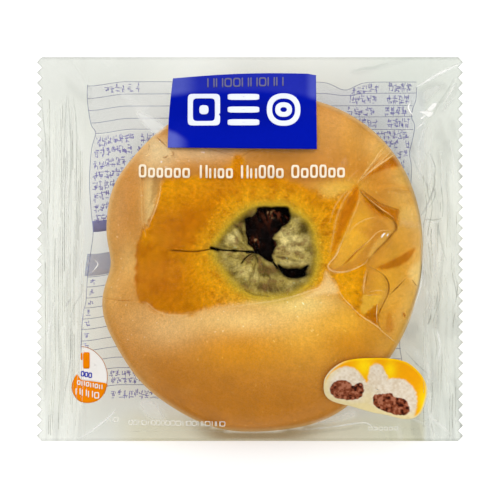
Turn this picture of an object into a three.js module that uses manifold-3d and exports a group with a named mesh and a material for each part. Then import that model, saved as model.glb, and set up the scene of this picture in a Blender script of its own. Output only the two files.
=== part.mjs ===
// A clear flow-wrap pack with a round red bean bun shut inside it, lying flat with its front up.
// Millimetres, +Z up. X runs from end seal to end seal, Y across the pack, and z = 0 is the table.
// The pack is one closed solid: the film drawn over the bun, with a flat crimped seal at each end.

import * as THREE from 'three';
import { mergeVertices } from 'three/addons/utils/BufferGeometryUtils.js';
import Module from 'manifold-3d';

// Pack
const packLength = 138.6;          // over the tips of both cut ends
const packWidth = 124.8;           // between the long sides
const edgeLevel = 12;              // height of the end seals and of the turned long sides
const leftSealWidth = 15.6;        // from the cut tips in to where the film parts
const rightSealWidth = 12.6;
const sealThickness = 0.9;         // both films and the crimping that lifts them
const filmThickness = 0.5;         // the wall left along the long sides
const turnRadius = 3;              // how round the film turns along the long sides
const turnFade = 14;               // the turn flattens over this length towards each seal
const tautGap = 4;                 // film over a gap this narrow is taut and straight
const slackGap = 26;               // over one this wide it hugs the bun's side and then runs out flat
const cling = 2.4;                 // how steeply it then comes down the bun's side

// Cut ends and crimping
const toothCount = 37;
const toothDepth = 1.6;
const ribCount = 7;
const ribHeight = 0.35;

// Bun under the film
const bunCentre = new THREE.Vector2(4.6, -4.9);
const bunRadius = 53.8;
const bunHeight = 37.6;
const widestLevel = 13;            // height at which the bun is widest
const crownPower = 2.5;            // how full the bun's shoulder is
const baseShare = 0.78;            // flat underside, as a share of the radius
const outlineWaves = [             // the bun isn't round: cosine and sine part of each wave
  [-0.9, 0.9],
  [-1.4, 1.4],
  [0.5, 0.4],
  [-0.6, -0.2],
];
const outlineBulges = [            // nor is its rim smooth: direction, width and height of a bulge or dent
  [Math.PI, 0.15, -2.5],
  [-2.84, 0.21, 1.8],
  [-2.13, 0.24, -1.1],
  [-1.15, 0.3, 2.1],
  [2.67, 0.18, 1.3],
];

// Crater in the bun's top, which the film spans and sinks into a little
const craterCentre = new THREE.Vector2(3.6, -0.6);
const craterRadii = new THREE.Vector2(17, 14.5);
const craterSag = 1.8;

// Back seam: the fin folded flat along the middle of the underside
const finWidth = 10;
const finThickness = 0.6;

// Folds in the front film: start, end, height (a trough if negative) and width
const foldFade = 6;                // folds die out over this distance from seals and sides
const folds = [
  [[34.8, 21.1], [45.8, 32.5], 0.9, 1.8],
  [[34.8, 21.1], [25.4, -0.3], 0.7, 1.8],
  [[35.1, 20.2], [47.1, 12.7], 0.9, 1.8],
  [[47.1, 12.7], [38.7, -3.6], -0.8, 2.0],
  [[38.7, -3.6], [36.7, -15.6], 0.8, 1.8],
  [[25.4, -1.0], [38.0, -3.6], -0.7, 2.0],
  [[38.7, -5.0], [44.5, -9.8], 0.8, 1.8],
  [[-34.8, 5.9], [-28.9, 21.5], 0.8, 2.0],
  [[-29.3, -21.1], [24.1, -8.1], 0.5, 2.4],
  [[-28.9, 39.7], [-48.1, 58.5], 1.0, 2.4],
  [[45.0, 44.0], [56.0, 52.0], 1.0, 2.4],
  [[-44.0, -52.0], [-53.0, -59.0], 0.9, 2.2],
  [[47.0, -47.0], [56.0, -56.0], 0.9, 2.2],
];

// Mesh fineness
const columns = 44;
const rows = 40;
const sideCrowding = 0.45;         // how much closer the rows stand near the long sides
const buriedLength = 3;            // how far the pillow runs on inside each seal
const tangentSteps = 80;

const halfLength = packLength / 2;
const halfWidth = packWidth / 2;
const leftInner = -halfLength + leftSealWidth;
const rightInner = halfLength - rightSealWidth;
const clamp = THREE.MathUtils.clamp;
const smooth = THREE.MathUtils.smoothstep;
const lerp = THREE.MathUtils.lerp;

// The bun's radius in one direction
function outlineRadius(angle) {
  let radius = bunRadius;
  outlineWaves.forEach(([cosine, sine], index) => {
    const turns = (index + 1) * angle;
    radius += cosine * Math.cos(turns) + sine * Math.sin(turns);
  });
  for (const [direction, width, height] of outlineBulges) {
    const aside = Math.atan2(Math.sin(angle - direction), Math.cos(angle - direction));
    radius += height * Math.exp(-((aside / width) ** 2));
  }
  return radius;
}

// Height of the bun's upper side, from the middle (0) to its widest line (1)
function crownHeight(share) {
  return widestLevel + (bunHeight - widestLevel) * Math.sqrt(1 - Math.min(share, 1) ** crownPower);
}

// Height of the bun's under side, from the flat base out to its widest line
function underHeight(share) {
  const out = clamp((share - baseShare) / (1 - baseShare), 0, 1);
  return widestLevel * (1 - Math.sqrt(1 - out * out));
}

// Distance from the bun's middle to where the film parts or turns
function edgeReach(angle) {
  const alongX = Math.cos(angle);
  const alongY = Math.sin(angle);
  const endX = alongX > 0 ? rightInner : leftInner;
  const endY = alongY > 0 ? halfWidth : -halfWidth;
  const toSeal = Math.abs(alongX) > 1e-6 ? (endX - bunCentre.x) / alongX : Infinity;
  const toSide = Math.abs(alongY) > 1e-6 ? (endY - bunCentre.y) / alongY : Infinity;
  return Math.min(toSeal, toSide);
}

// 1 for film that is straight between the bun and the pack's edge, more for film that hugs the bun
function clingPower(radius, reach) {
  return 1 + cling * smooth(reach - radius, tautGap, slackGap);
}

// The film leaves the bun along the line from the pack's edge that just clears it
function touchDistance(radius, reach, heightAt, sign) {
  const power = clingPower(radius, reach);
  let best = -Infinity;
  let touch = radius;
  for (let step = 0; step <= tangentSteps; step += 1) {
    const share = step / tangentSteps;
    const distance = share * radius;
    const steepness = (sign * (heightAt(share) - edgeLevel)) / (reach - distance) ** power;
    if (steepness > best) {
      best = steepness;
      touch = distance;
    }
  }
  return touch;
}

// Film height on one side of the pack: heightAt is the bun's form, and sign is 1 above and -1 below
function drapedHeight(x, y, heightAt, sign) {
  const offsetX = x - bunCentre.x;
  const offsetY = y - bunCentre.y;
  const angle = Math.atan2(offsetY, offsetX);
  const distance = Math.hypot(offsetX, offsetY);
  const radius = outlineRadius(angle);
  const reach = edgeReach(angle);
  const touch = touchDistance(radius, reach, heightAt, sign);
  if (distance <= touch) return heightAt(distance / radius);
  const slack = clamp((reach - distance) / (reach - touch), 0, 1);
  const drop = slack ** clingPower(radius, reach);
  const toSide = Math.max(halfWidth - Math.abs(y), 0);
  const toSeal = Math.max(Math.min(x - leftInner, rightInner - x), 0);
  const turn = Math.sqrt(2 * turnRadius * toSide) * (1 - slack) ** 2 * smooth(toSeal, 0, turnFade);
  return lerp(edgeLevel, heightAt(touch / radius), drop) + sign * turn;
}

// Height that the folds add at one place
function foldRelief(x, y) {
  const place = new THREE.Vector2(x, y);
  let relief = 0;
  for (const [start, end, height, width] of folds) {
    const from = new THREE.Vector2(...start);
    const run = new THREE.Vector2(...end).sub(from);
    const along = clamp(place.clone().sub(from).dot(run) / run.lengthSq(), 0, 1);
    const aside = place.distanceTo(from.addScaledVector(run, along));
    relief += height * Math.exp(-((aside / width) ** 2));
  }
  return relief;
}

// The film dips a little where nothing backs it
function craterDip(x, y) {
  const share = Math.hypot((x - craterCentre.x) / craterRadii.x, (y - craterCentre.y) / craterRadii.y);
  return craterSag * (1 - smooth(share, 0, 1));
}

function frontHeight(x, y) {
  const inPillow = x > leftInner && x < rightInner && Math.abs(y) < halfWidth;
  if (!inPillow) return edgeLevel + filmThickness / 2;
  const draped = drapedHeight(x, y, crownHeight, 1);
  const free = smooth(Math.min(x - leftInner, rightInner - x, halfWidth - Math.abs(y)), 0, foldFade);
  return Math.max(draped + free * foldRelief(x, y) - craterDip(x, y), edgeLevel + filmThickness / 2);
}

function backHeight(x, y) {
  const inPillow = x > leftInner && x < rightInner && Math.abs(y) < halfWidth;
  if (!inPillow) return edgeLevel - filmThickness / 2;
  const draped = drapedHeight(x, y, underHeight, -1);
  const fin = Math.abs(y) < finWidth / 2 ? finThickness : 0;
  return clamp(draped - fin, 0, edgeLevel - filmThickness / 2);
}

// Grid lines: even along X between the seals, and closer together where the film turns at the long sides
function columnPlaces() {
  const between = Array.from({ length: columns - 1 }, (_, i) => lerp(leftInner, rightInner, i / (columns - 2)));
  return [leftInner - buriedLength, ...between, rightInner + buriedLength];
}

function rowPlaces() {
  const even = Array.from({ length: rows + 1 }, (_, i) => lerp(-1, 1, i / rows));
  return even.map((share) => halfWidth * lerp(share, Math.sin((share * Math.PI) / 2), sideCrowding));
}

// The pillow: front and back grids joined round their rim by a narrow wall
function pillowGeometry() {
  const xs = columnPlaces();
  const ys = rowPlaces();
  const positions = [];
  const indices = [];
  const perRow = xs.length;
  const perSide = perRow * ys.length;
  for (const heightAt of [frontHeight, backHeight]) {
    for (const y of ys) {
      for (const x of xs) positions.push(x, y, heightAt(x, y));
    }
  }
  for (let row = 0; row < ys.length - 1; row += 1) {
    for (let column = 0; column < perRow - 1; column += 1) {
      const a = row * perRow + column;
      const b = a + 1;
      const c = a + perRow;
      const d = c + 1;
      indices.push(a, b, d, a, d, c);
      indices.push(perSide + a, perSide + d, perSide + b, perSide + a, perSide + c, perSide + d);
    }
  }
  const rim = [];
  for (let column = 0; column < perRow - 1; column += 1) rim.push(column);
  for (let row = 0; row < ys.length - 1; row += 1) rim.push(row * perRow + perRow - 1);
  for (let column = perRow - 1; column > 0; column -= 1) rim.push((ys.length - 1) * perRow + column);
  for (let row = ys.length - 1; row > 0; row -= 1) rim.push(row * perRow);
  rim.forEach((from, index) => {
    const to = rim[(index + 1) % rim.length];
    indices.push(from, perSide + from, perSide + to, from, perSide + to, to);
  });
  const geometry = new THREE.BufferGeometry();
  geometry.setAttribute('position', new THREE.Float32BufferAttribute(positions, 3));
  geometry.setIndex(indices);
  return geometry;
}

// A crimped band across the pack: a ribbed section in X and Z, run along Y
function crimpedGeometry(inner, outer) {
  const section = new THREE.Shape();
  const half = sealThickness / 2;
  const pitch = (outer - inner) / ribCount;
  section.moveTo(inner, -half);
  section.lineTo(outer, -half);
  section.lineTo(outer, half);
  for (let rib = ribCount - 1; rib >= 0; rib -= 1) {
    section.lineTo(inner + pitch * (rib + 0.5), half + ribHeight);
    section.lineTo(inner + pitch * rib, half);
  }
  const geometry = new THREE.ExtrudeGeometry(section, { depth: packWidth, bevelEnabled: false });
  geometry.rotateX(Math.PI / 2);
  geometry.translate(0, halfWidth, edgeLevel);
  return geometry;
}

// What the saw-tooth knife leaves: a tall block whose outer side is a row of teeth
function cutGeometry(inner, tip) {
  const outline = new THREE.Shape();
  const valley = tip - Math.sign(tip) * toothDepth;
  const pitch = packWidth / toothCount;
  outline.moveTo(inner, -halfWidth);
  outline.lineTo(valley, -halfWidth);
  for (let tooth = 0; tooth < toothCount; tooth += 1) {
    const start = -halfWidth + tooth * pitch;
    outline.lineTo(tip, start + pitch / 2);
    outline.lineTo(valley, start + pitch);
  }
  outline.lineTo(inner, halfWidth);
  const geometry = new THREE.ExtrudeGeometry(outline, { depth: 4 * sealThickness, bevelEnabled: false });
  geometry.translate(0, 0, edgeLevel - 2 * sealThickness);
  return geometry;
}

const wasm = await Module();
wasm.setup();

// A closed three.js geometry as a solid that can be joined and cut
function toSolid(geometry) {
  geometry.deleteAttribute('normal');
  geometry.deleteAttribute('uv');
  const merged = mergeVertices(geometry, 1e-4);
  const mesh = new wasm.Mesh({
    numProp: 3,
    vertProperties: new Float32Array(merged.attributes.position.array),
    triVerts: new Uint32Array(merged.index.array),
  });
  return new wasm.Manifold(mesh);
}

function fromSolid(solid) {
  const mesh = solid.getMesh();
  const geometry = new THREE.BufferGeometry();
  geometry.setAttribute('position', new THREE.BufferAttribute(new Float32Array(mesh.vertProperties), 3));
  geometry.setIndex(new THREE.BufferAttribute(new Uint32Array(mesh.triVerts), 1));
  geometry.computeVertexNormals();
  return geometry;
}

function sealSolid(inner, tip) {
  const low = Math.min(inner, tip);
  const high = Math.max(inner, tip);
  return toSolid(crimpedGeometry(low, high)).intersect(toSolid(cutGeometry(inner, tip)));
}

const wrappedBun = new THREE.MeshStandardMaterial({ color: 0xd79a4c, roughness: 0.25, metalness: 0 });

const packSolid = toSolid(pillowGeometry())
  .add(sealSolid(leftInner, -halfLength))
  .add(sealSolid(rightInner, halfLength));

const sealedPack = new THREE.Mesh(fromSolid(packSolid), wrappedBun);
sealedPack.name = 'sealed_pack';

const part = new THREE.Group();
part.add(sealedPack);

export default part;
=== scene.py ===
# A red bean bun shut in a clear printed flow-wrap pack, lying flat and seen from above.
import bmesh
import bpy
import numpy as np
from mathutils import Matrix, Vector


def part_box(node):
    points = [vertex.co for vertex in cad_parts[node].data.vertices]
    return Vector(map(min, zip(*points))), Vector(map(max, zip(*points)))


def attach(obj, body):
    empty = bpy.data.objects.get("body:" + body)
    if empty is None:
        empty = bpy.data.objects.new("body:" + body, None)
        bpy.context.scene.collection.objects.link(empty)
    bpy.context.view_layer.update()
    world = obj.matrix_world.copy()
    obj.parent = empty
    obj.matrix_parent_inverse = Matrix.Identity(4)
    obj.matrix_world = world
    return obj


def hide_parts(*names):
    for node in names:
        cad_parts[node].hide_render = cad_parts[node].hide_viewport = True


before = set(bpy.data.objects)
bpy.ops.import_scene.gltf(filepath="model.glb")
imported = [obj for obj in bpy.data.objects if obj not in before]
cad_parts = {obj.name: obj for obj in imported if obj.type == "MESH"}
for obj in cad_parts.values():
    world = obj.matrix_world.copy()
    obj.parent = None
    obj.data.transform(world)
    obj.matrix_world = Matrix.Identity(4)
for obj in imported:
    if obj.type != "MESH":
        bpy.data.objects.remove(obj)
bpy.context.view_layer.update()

packLow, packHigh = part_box("sealed_pack")
mm = 0.001                                    # lengths below are in millimetres

# Where the photo shows things: features are placed by its pixels, at the pack's real size
photo = {
    "packSpan": 426.4,                        # pixels from cut tip to cut tip
    "middle": (250, 249),                     # pixel over the pack's middle
    "imageSize": 500,
    "cameraHeight": 4000,
}
pixel = (packHigh.x - packLow.x) / mm / photo["packSpan"]


# Small tools for fields over the pack

def spots(pixels):
    # photo pixels, each point's x and y in turn, to millimetres in the frame
    p = np.reshape(np.asarray(pixels, float), (-1, 2))
    return np.column_stack((p[:, 0] - photo["middle"][0], photo["middle"][1] - p[:, 1])) * pixel


def smooth(low, high, value):
    t = np.clip((value - low) / (high - low), 0, 1)
    return t * t * (3 - 2 * t)


def mix(a, b, share):
    return a + (b - a) * share


def noise(x, y, size, seed, layers=1):
    # smooth random field from -1 to 1, with lumps of this size
    total, weight = 0, 1
    for layer in range(layers):
        u, v = x / size * 2 ** layer + seed * 3.7, y / size * 2 ** layer - seed * 1.3
        i, j = np.floor(u), np.floor(v)

        def corner(a, b):
            h = np.sin((i + a) * 127.1 + (j + b) * 311.7 + (seed + layer) * 74.7) * 43758.5453
            return 2 * (h - np.floor(h)) - 1

        rows = [mix(corner(0, b), corner(1, b), smooth(0, 1, u - i)) for b in (0, 1)]
        total = total + weight * mix(*rows, smooth(0, 1, v - j))
        weight *= 0.5
    return total


def pathDistance(x, y, path, closed=False):
    best = np.full(np.shape(x), 1e9)
    for (ax, ay), (bx, by) in zip(path, np.roll(path, -1, 0) if closed else path[1:]):
        rx, ry = bx - ax, by - ay
        t = np.clip(((x - ax) * rx + (y - ay) * ry) / max(rx * rx + ry * ry, 1e-9), 0, 1)
        best = np.minimum(best, np.hypot(x - ax - t * rx, y - ay - t * ry))
    return best


def insideDepth(x, y, path):
    # how far inside a closed path, negative outside
    inside = np.zeros(np.shape(x), bool)
    for (ax, ay), (bx, by) in zip(path, np.roll(path, -1, 0)):
        if ay != by:
            inside ^= ((ay > y) != (by > y)) & (x < (bx - ax) * (y - ay) / (by - ay) + ax)
    return np.where(inside, 1, -1) * pathDistance(x, y, path, True)


def roundPath(pixels, steps=5, closed=True):
    # a smooth curve through photo pixels
    p = spots(pixels)
    p = np.vstack((p[-1:], p, p[:2]) if closed else (p[:1], p, p[-1:]))
    t = np.arange(steps)[:, None] / steps
    made = [0.5 * (2 * b + (c - a) * t + (2 * a - 5 * b + 4 * c - d) * t * t
                   + (3 * b - a - 3 * c + d) * t ** 3) for a, b, c, d in zip(p, p[1:], p[2:], p[3:])]
    return np.vstack(made if closed else made + [p[-1]])


def rounded(rows, steps, closed=True):
    # for rows that begin with a path in pixels
    return [(roundPath(pixels, steps, closed), *values) for pixels, *values in rows]


def sideways(path):
    # unit steps square to a path
    along = np.gradient(path, axis=0)
    along /= np.linalg.norm(along, axis=1)[:, None]
    return np.stack((-along[:, 1], along[:, 0]), -1)


def blob(x, y, centre, radii):
    # soft patch, centre and radii in pixels
    c = spots(centre)[0]
    return np.exp(-((x - c[0]) / (radii[0] * pixel)) ** 2 - ((y - c[1]) / (radii[1] * pixel)) ** 2)


def zone(piece, name, x, y):
    # a named region: soft steps along x or y, each from none of it to all of it
    shown = 1
    for axis, start, whole in piece["zones"][name]:
        shown = shown * smooth(start, whole, x if axis == "x" else y)
    return shown


def around(x, y, pixels):
    # direction and distance from one photo pixel
    cx, cy = spots(pixels)[0]
    return np.arctan2(y - cy, x - cx), np.hypot(x - cx, y - cy)


def blobs(x, y, rows):
    return sum(strength * blob(x, y, centre, radii) for centre, radii, strength in rows)


def linear(colour):
    # screen colour, 0 to 255, to linear light
    c = np.asarray(colour, float) / 255
    return np.where(c <= 0.04045, c / 12.92, ((c + 0.055) / 1.055) ** 2.4)


def over(colour, tone, share):
    # lays a screen colour over linear ones
    return mix(colour, linear(tone), share[:, None])


# Meshes

def newObject(name, data):
    made = bpy.data.objects.new(name, data)
    bpy.context.scene.collection.objects.link(made)
    return made


def meshPiece(name, points, faces, material):
    mesh = bpy.data.meshes.new(name)
    mesh.from_pydata([tuple(p) for p in np.asarray(points) * mm], [], faces)
    mesh.validate()
    turned = bmesh.new()
    turned.from_mesh(mesh)
    bmesh.ops.recalc_face_normals(turned, faces=turned.faces)
    turned.to_mesh(mesh)
    turned.free()
    mesh.polygons.foreach_set("use_smooth", [True] * len(mesh.polygons))
    mesh.update()
    mesh.materials.append(material)
    return newObject(name, mesh)


def gridFaces(index):
    return np.stack((index[:-1, :-1], index[:-1, 1:], index[1:, 1:], index[1:, :-1]), -1).reshape(-1, 4)


def setColours(piece, colours, name="paint"):
    rgba = np.ones((len(colours), 4), np.float32)
    rgba[:, :3] = colours
    attribute = piece.data.color_attributes.new(name, "FLOAT_COLOR", "POINT")
    attribute.data.foreach_set("color", rgba.ravel())


def setValues(piece, values, name):
    attribute = piece.data.attributes.new(name, "FLOAT", "POINT")
    attribute.data.foreach_set("value", np.asarray(values, np.float32))


# Nodes and materials

def addNode(tree, kind, inputs=None, output=0, **settings):
    # inputs: socket name or number to a value, or to an output socket to link from
    node = tree.nodes.new(kind if "Node" in kind else "ShaderNode" + kind)
    for key, value in settings.items():
        setattr(node, key, value)
    for key, value in (inputs or {}).items():
        if isinstance(value, bpy.types.NodeSocket):
            tree.links.new(value, node.inputs[key])
        else:
            node.inputs[key].default_value = value
    return node.outputs[output]


def mathNode(tree, operation, *values):
    return addNode(tree, "Math", dict(enumerate(values)), operation=operation)


def rangeNode(tree, *values):
    # a socket, then its low and high, and what they become
    return addNode(tree, "MapRange", dict(enumerate(values)))


def blendNode(tree, share, a, b, **settings):
    return addNode(tree, "Mix", {"Factor": share, 6: a, 7: b}, 2, data_type="RGBA", **settings)


def heldNode(tree, name, output="Color"):
    # what setColours or setValues has put on the piece
    return addNode(tree, "Attribute", output=output, attribute_name=name)


def grain(tree, scale, detail):
    # noise on the piece's own coordinates, scale in lumps a metre
    place = addNode(tree, "TexCoord", output="Object")
    return addNode(tree, "TexNoise", {"Vector": place, "Scale": scale, "Detail": detail}, "Fac")


def bumpNode(tree, height, strength, distance):
    return addNode(tree, "Bump", {"Height": height, "Strength": strength, "Distance": distance * mm})


def coatNode(tree, colour, roughness, specular, **more):
    return addNode(tree, "BsdfPrincipled", {"Base Color": colour, "Roughness": roughness,
                                            "Specular IOR Level": specular, **more})


def clearShader(tree, share, clear, milk, gloss, roughness):
    # clear film with a milky share, and a mirror share over both
    clear = addNode(tree, "BsdfTransparent", {"Color": clear})
    milk = addNode(tree, "BsdfDiffuse", {"Color": milk})
    body = addNode(tree, "MixShader", {0: share, 1: clear, 2: milk})
    shine = addNode(tree, "BsdfGlossy", {"Color": (1, 1, 1, 1), "Roughness": roughness})
    return addNode(tree, "MixShader", {0: gloss, 1: body, 2: shine})


def newMaterial(name, shader, *values):
    # shader: adds its nodes to a tree and gives the last output
    material = bpy.data.materials.new(name)
    material.use_nodes = True
    tree = material.node_tree
    tree.nodes.clear()
    output = tree.nodes.new("ShaderNodeOutputMaterial")
    tree.links.new(shader(tree, *values), output.inputs["Surface"])
    return material


def geometryTree(name, inputs):
    # inputs: socket name to its kind and first value
    tree = bpy.data.node_groups.new(name, "GeometryNodeTree")
    for key, (kind, value) in {"Geometry": ("Geometry", None), **inputs}.items():
        socket = tree.interface.new_socket(key, in_out="INPUT", socket_type="NodeSocket" + kind)
        if value is not None:
            socket.default_value = value
    tree.interface.new_socket("Geometry", in_out="OUTPUT", socket_type="NodeSocketGeometry")
    return tree, tree.nodes.new("NodeGroupInput").outputs


def finishTree(tree, made, material):
    whole = addNode(tree, "GeometryNodeRealizeInstances", {"Geometry": made})
    done = addNode(tree, "GeometryNodeSetMaterial", {"Geometry": whole, "Material": material})
    tree.links.new(done, tree.nodes.new("NodeGroupOutput").inputs["Geometry"])
    return tree


def growPiece(name, points, edges, tree, values):
    # runs a tree on a guide of points and edges, and keeps what it makes as a plain mesh
    mesh = bpy.data.meshes.new(name + "_guide")
    mesh.from_pydata([tuple(p) for p in np.asarray(points) * mm], edges, [])
    guide = newObject(name + "_guide", mesh)
    modifier = guide.modifiers.new(name, "NODES")
    modifier.node_group = tree
    for item in tree.interface.items_tree:
        if item.in_out == "INPUT" and item.name in values:
            modifier[item.identifier] = values[item.name]
    made = bpy.data.meshes.new_from_object(guide.evaluated_get(bpy.context.evaluated_depsgraph_get()))
    guide.modifiers.clear()
    bpy.data.objects.remove(guide)
    made.name = name
    return newObject(name, made)


print("sizes and tools ready")


# The pack's form, from the same sizes as its solid

pack = {
    "halfLength": packHigh.x / mm,
    "halfWidth": packHigh.y / mm,
    "edgeLevel": 12,
    "leftSeal": 15.6,
    "rightSeal": 12.6,
    "turnRadius": 3,
    "turnFade": 14,
    "tautGap": 4,                             # film over a gap this narrow is straight
    "slackGap": 26,                           # over one this wide it hugs the bun, then runs out flat
    "cling": 2.4,
    "teeth": 37,
    "toothDepth": 1.6,
    "toothRoom": 4,                           # the mesh is fitted to the teeth over this length
    "finWidth": 10,
    "finThickness": 0.5,
}
leftInner = -pack["halfLength"] + pack["leftSeal"]
rightInner = pack["halfLength"] - pack["rightSeal"]

bun = {
    "centre": (4.6, -4.9),
    "radius": 53.8,
    "height": 37.6,
    "widest": 13,                             # height of its widest line
    "crownPower": 2.5,
    "baseShare": 0.78,
    "waves": [(-0.9, 0.9), (-1.4, 1.4), (0.5, 0.4), (-0.6, -0.2)],
    "bulges": [(np.pi, 0.15, -2.5), (-2.84, 0.21, 1.8), (-2.13, 0.24, -1.1), (-1.15, 0.3, 2.1),
               (2.67, 0.18, 1.3)],            # direction, width and height, a dent if negative
    "under": 0.45,                            # how far it stays below the front film
    "above": 0.35,                            # and above the back one
    "rings": (76, 66, 20, 6),                 # round the crater, shoulder, under side, base
    "segments": 568,
    "craterReach": 0.42,                      # share of the radius with fine rings
    "side": (230, 178, 106),
    "foot": (168, 104, 38),
}


def outlineRadius(angle):
    radius = np.full(np.shape(angle), bun["radius"])
    for wave, (cosine, sine) in enumerate(bun["waves"], 1):
        radius = radius + cosine * np.cos(wave * angle) + sine * np.sin(wave * angle)
    for direction, width, height in bun["bulges"]:
        aside = np.arctan2(np.sin(angle - direction), np.cos(angle - direction))
        radius = radius + height * np.exp(-(aside / width) ** 2)
    return radius


def crownHeight(share):
    return mix(bun["widest"], bun["height"], np.sqrt(1 - np.minimum(share, 1) ** bun["crownPower"]))


def underHeight(share):
    out = np.clip((share - bun["baseShare"]) / (1 - bun["baseShare"]), 0, 1)
    return bun["widest"] * (1 - np.sqrt(1 - out * out))


def bunShare(x, y):
    # 0 in the bun's middle, 1 on its outline
    dx, dy = x - bun["centre"][0], y - bun["centre"][1]
    return np.hypot(dx, dy) / outlineRadius(np.arctan2(dy, dx))


def drapeOver(heightAt, sign):
    # in each direction the film follows the bun so far, then runs to the edge
    angles = np.linspace(-np.pi, np.pi, 1441)
    cx, cy = bun["centre"]
    along, across = (np.where(abs(part) < 1e-6, 1e-6, part) for part in (np.cos(angles), np.sin(angles)))
    toSeal = (np.where(along > 0, rightInner, leftInner) - cx) / along
    toSide = (np.where(across > 0, 1, -1) * pack["halfWidth"] - cy) / across
    reach = np.minimum(abs(toSeal), abs(toSide))
    radius = outlineRadius(angles)
    power = 1 + pack["cling"] * smooth(pack["tautGap"], pack["slackGap"], reach - radius)
    shares = np.linspace(0, 1, 501)
    rise = sign * (heightAt(shares) - pack["edgeLevel"])
    steep = rise[None] / (reach[:, None] - shares[None] * radius[:, None]) ** power[:, None]
    soft = np.convolve(np.pad(shares[np.argmax(steep, axis=1)], 8, "wrap"), np.ones(17) / 17, "valid")
    table = reach, soft * radius, heightAt(soft), power

    def height(x, y):
        angle, distance = np.arctan2(y - cy, x - cx), np.hypot(x - cx, y - cy)
        reachHere, touch, level, steepness = (np.interp(angle, angles, values) for values in table)
        slack = np.clip((reachHere - distance) / (reachHere - touch), 0, 1)
        toSide = np.maximum(pack["halfWidth"] - abs(y), 0)
        toSeal = np.maximum(np.minimum(x - leftInner, rightInner - x), 0)
        turn = np.sqrt(2 * pack["turnRadius"] * toSide) * (1 - slack) ** 2
        turn = turn * smooth(0, pack["turnFade"], toSeal)
        free = mix(pack["edgeLevel"], level, slack ** steepness) + sign * turn
        return np.where(distance <= touch, heightAt(distance / outlineRadius(angle)), free)

    return height


frontDrape, backDrape = drapeOver(crownHeight, 1), drapeOver(underHeight, -1)


# Where the front film lies tight on the crust, which looks wet there: outline, and how soft its edge is
touching = rounded([
    ([143, 231, 138, 247, 137, 265, 137, 288, 140, 301, 146, 302, 155, 310, 165, 313, 181, 314, 196, 313,
      210, 307, 250, 301, 282, 296, 306, 290, 319, 285, 324, 274, 329, 262, 331, 244, 336, 226, 344, 206,
      357, 186, 340, 194, 325, 195, 308, 188, 290, 181, 276, 176, 262, 176, 247, 168, 242, 158, 234, 158,
      228, 168, 214, 173, 196, 176, 178, 178, 163, 181, 158, 197, 152, 215], 1.1),
    ([357, 186, 358, 196, 354, 211, 346, 228, 337, 248, 330, 262, 328, 258, 331, 240, 338, 218, 346, 201],
      0.8),
    ([325, 272, 338, 273, 352, 269, 363, 263, 366, 270, 363, 283, 361, 300, 360, 312, 366, 317, 375, 324,
      369, 322, 357, 315, 346, 303, 337, 292, 334, 281], 0.6),
    ([364, 176, 379, 165, 396, 154, 400, 164, 384, 168], 1.2),
    ([362, 194, 372, 202, 384, 208, 397, 209, 397, 224, 391, 220, 380, 216, 368, 206], 0.8),
    ([377, 269, 391, 261, 403, 254, 414, 248, 409, 256, 397, 265, 386, 269], 0.9),
    ([364, 315, 370, 309, 376, 305, 377, 325], 0.5),
], 3)


def contactAt(x, y):
    ragged = 0.45 * noise(x, y, 1.4, 5, 2)
    return np.max([smooth(-soft, soft, insideDepth(x, y, outline) + ragged) for outline, soft in touching], 0)


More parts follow.
